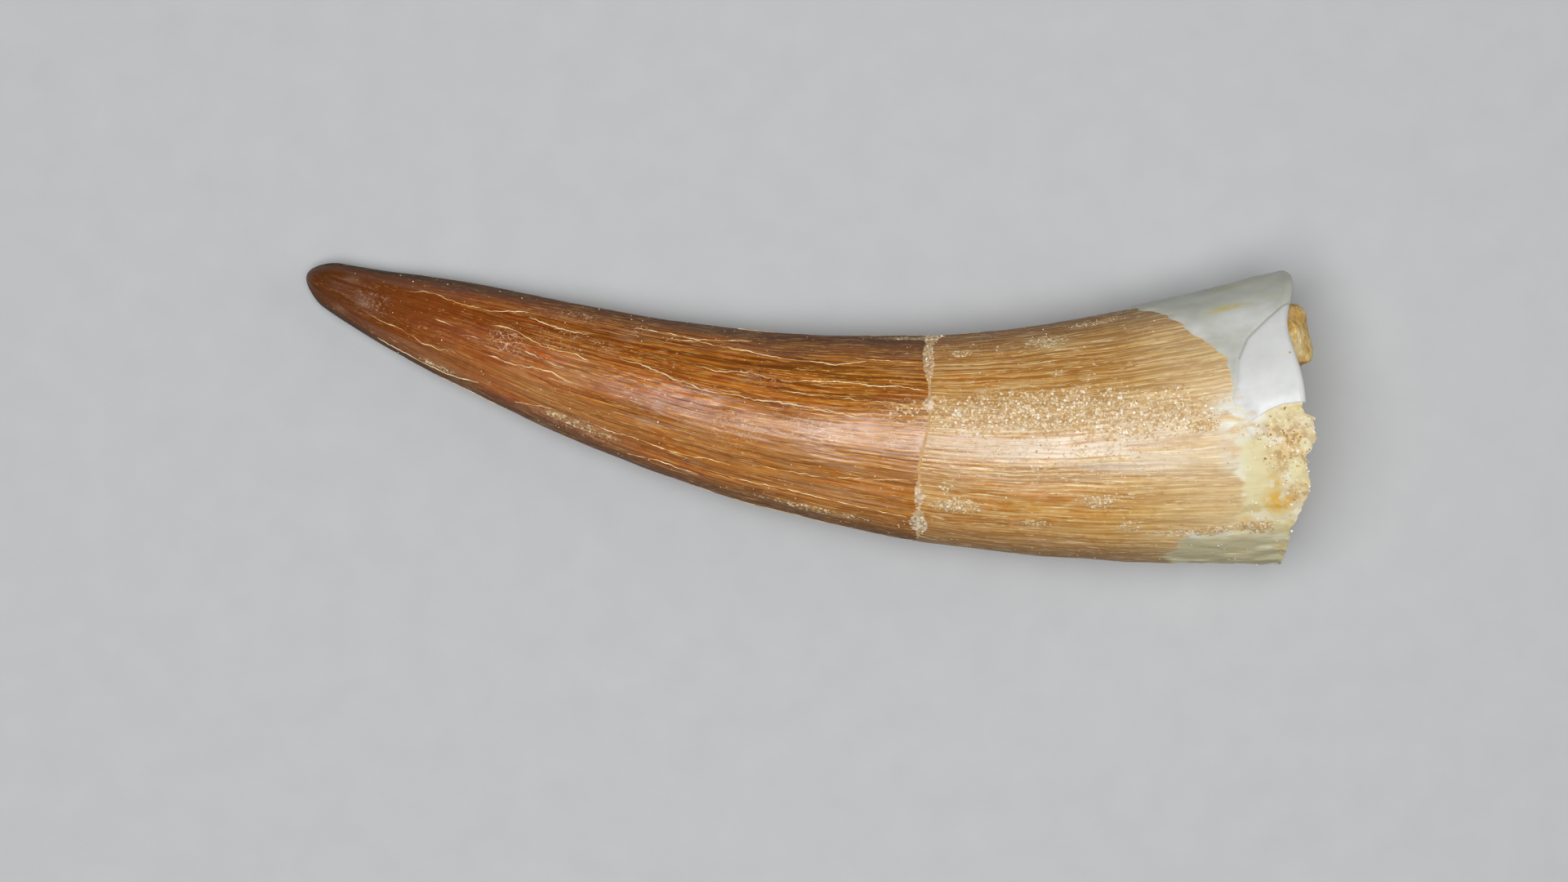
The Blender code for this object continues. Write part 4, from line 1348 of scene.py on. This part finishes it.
# studio: a pale floor, a long soft key light over the tooth and a weak fill
studioLook = {
    "floorSize": 1.6,
    "floorBelow": 0.03 * mm,  # so that the worn strip doesn't share a plane with the floor
    "floorTones": ("#afb0b0", "#b7b8b7"),
    "key": {"place": (-0.03, -0.018, 0.34), "size": (0.18, 0.2), "power": 1.33, "colour": "#fbfcff"},
    "fill": {"place": (0.42, 0.04, 0.24), "size": (0.3, 0.3), "power": 0.5, "colour": "#ffffff"},
    "worldColour": "#e8ecf2",
    "worldStrength": 0.05,
    "lens": 77.06,
    "sensor": 36,
    "nearest": 0.01,
}


def areaLight(name, place, size, power, colour):
    light = bpy.data.lights.new(name, "AREA")
    light.shape = "RECTANGLE"
    light.size, light.size_y = size
    light.energy, light.color = power, linear(colour)[:3]
    holder = bpy.data.objects.new(name, light)
    aimed = Vector(place).to_track_quat("Z", "Y").to_matrix().to_4x4()
    holder.matrix_world = Matrix.Translation(place) @ aimed
    bpy.context.scene.collection.objects.link(holder)


def studio():
    look = studioLook
    bm = bmesh.new()
    bmesh.ops.create_grid(bm, x_segments=1, y_segments=1, size=look["floorSize"] / 2)
    bmesh.ops.translate(bm, verts=bm.verts, vec=(0, 0, -look["floorBelow"]))
    floor = pieceOf("floor", bm)
    board = Paint("pale matt board")
    tone = board.over(*look["floorTones"], board.cloud(2.5, 3.0)["Fac"])
    floor.data.materials.append(board.done(tone, 0.85))
    for key in ("key", "fill"):
        areaLight(key, **look[key])
    world = bpy.data.worlds.new("studio")
    world.use_nodes = True
    background = world.node_tree.nodes["Background"]
    background.inputs["Color"].default_value = linear(look["worldColour"])
    background.inputs["Strength"].default_value = look["worldStrength"]
    bpy.context.scene.world = world


def cameraAbove():
    look = studioLook
    data = bpy.data.cameras.new("camera")
    data.lens, data.sensor_width, data.clip_start = look["lens"], look["sensor"], look["nearest"]
    camera = bpy.data.objects.new("camera", data)
    camX, camY, camZ = seenFrom["camera"]
    camera.location = Vector((camX - toothForm["middle"][0], camY - toothForm["middle"][1], camZ)) * mm
    bpy.context.scene.collection.objects.link(camera)
    bpy.context.scene.camera = camera


studio()
cameraAbove()
bpy.context.scene.view_settings.view_transform = "Standard"
print("scene ready")
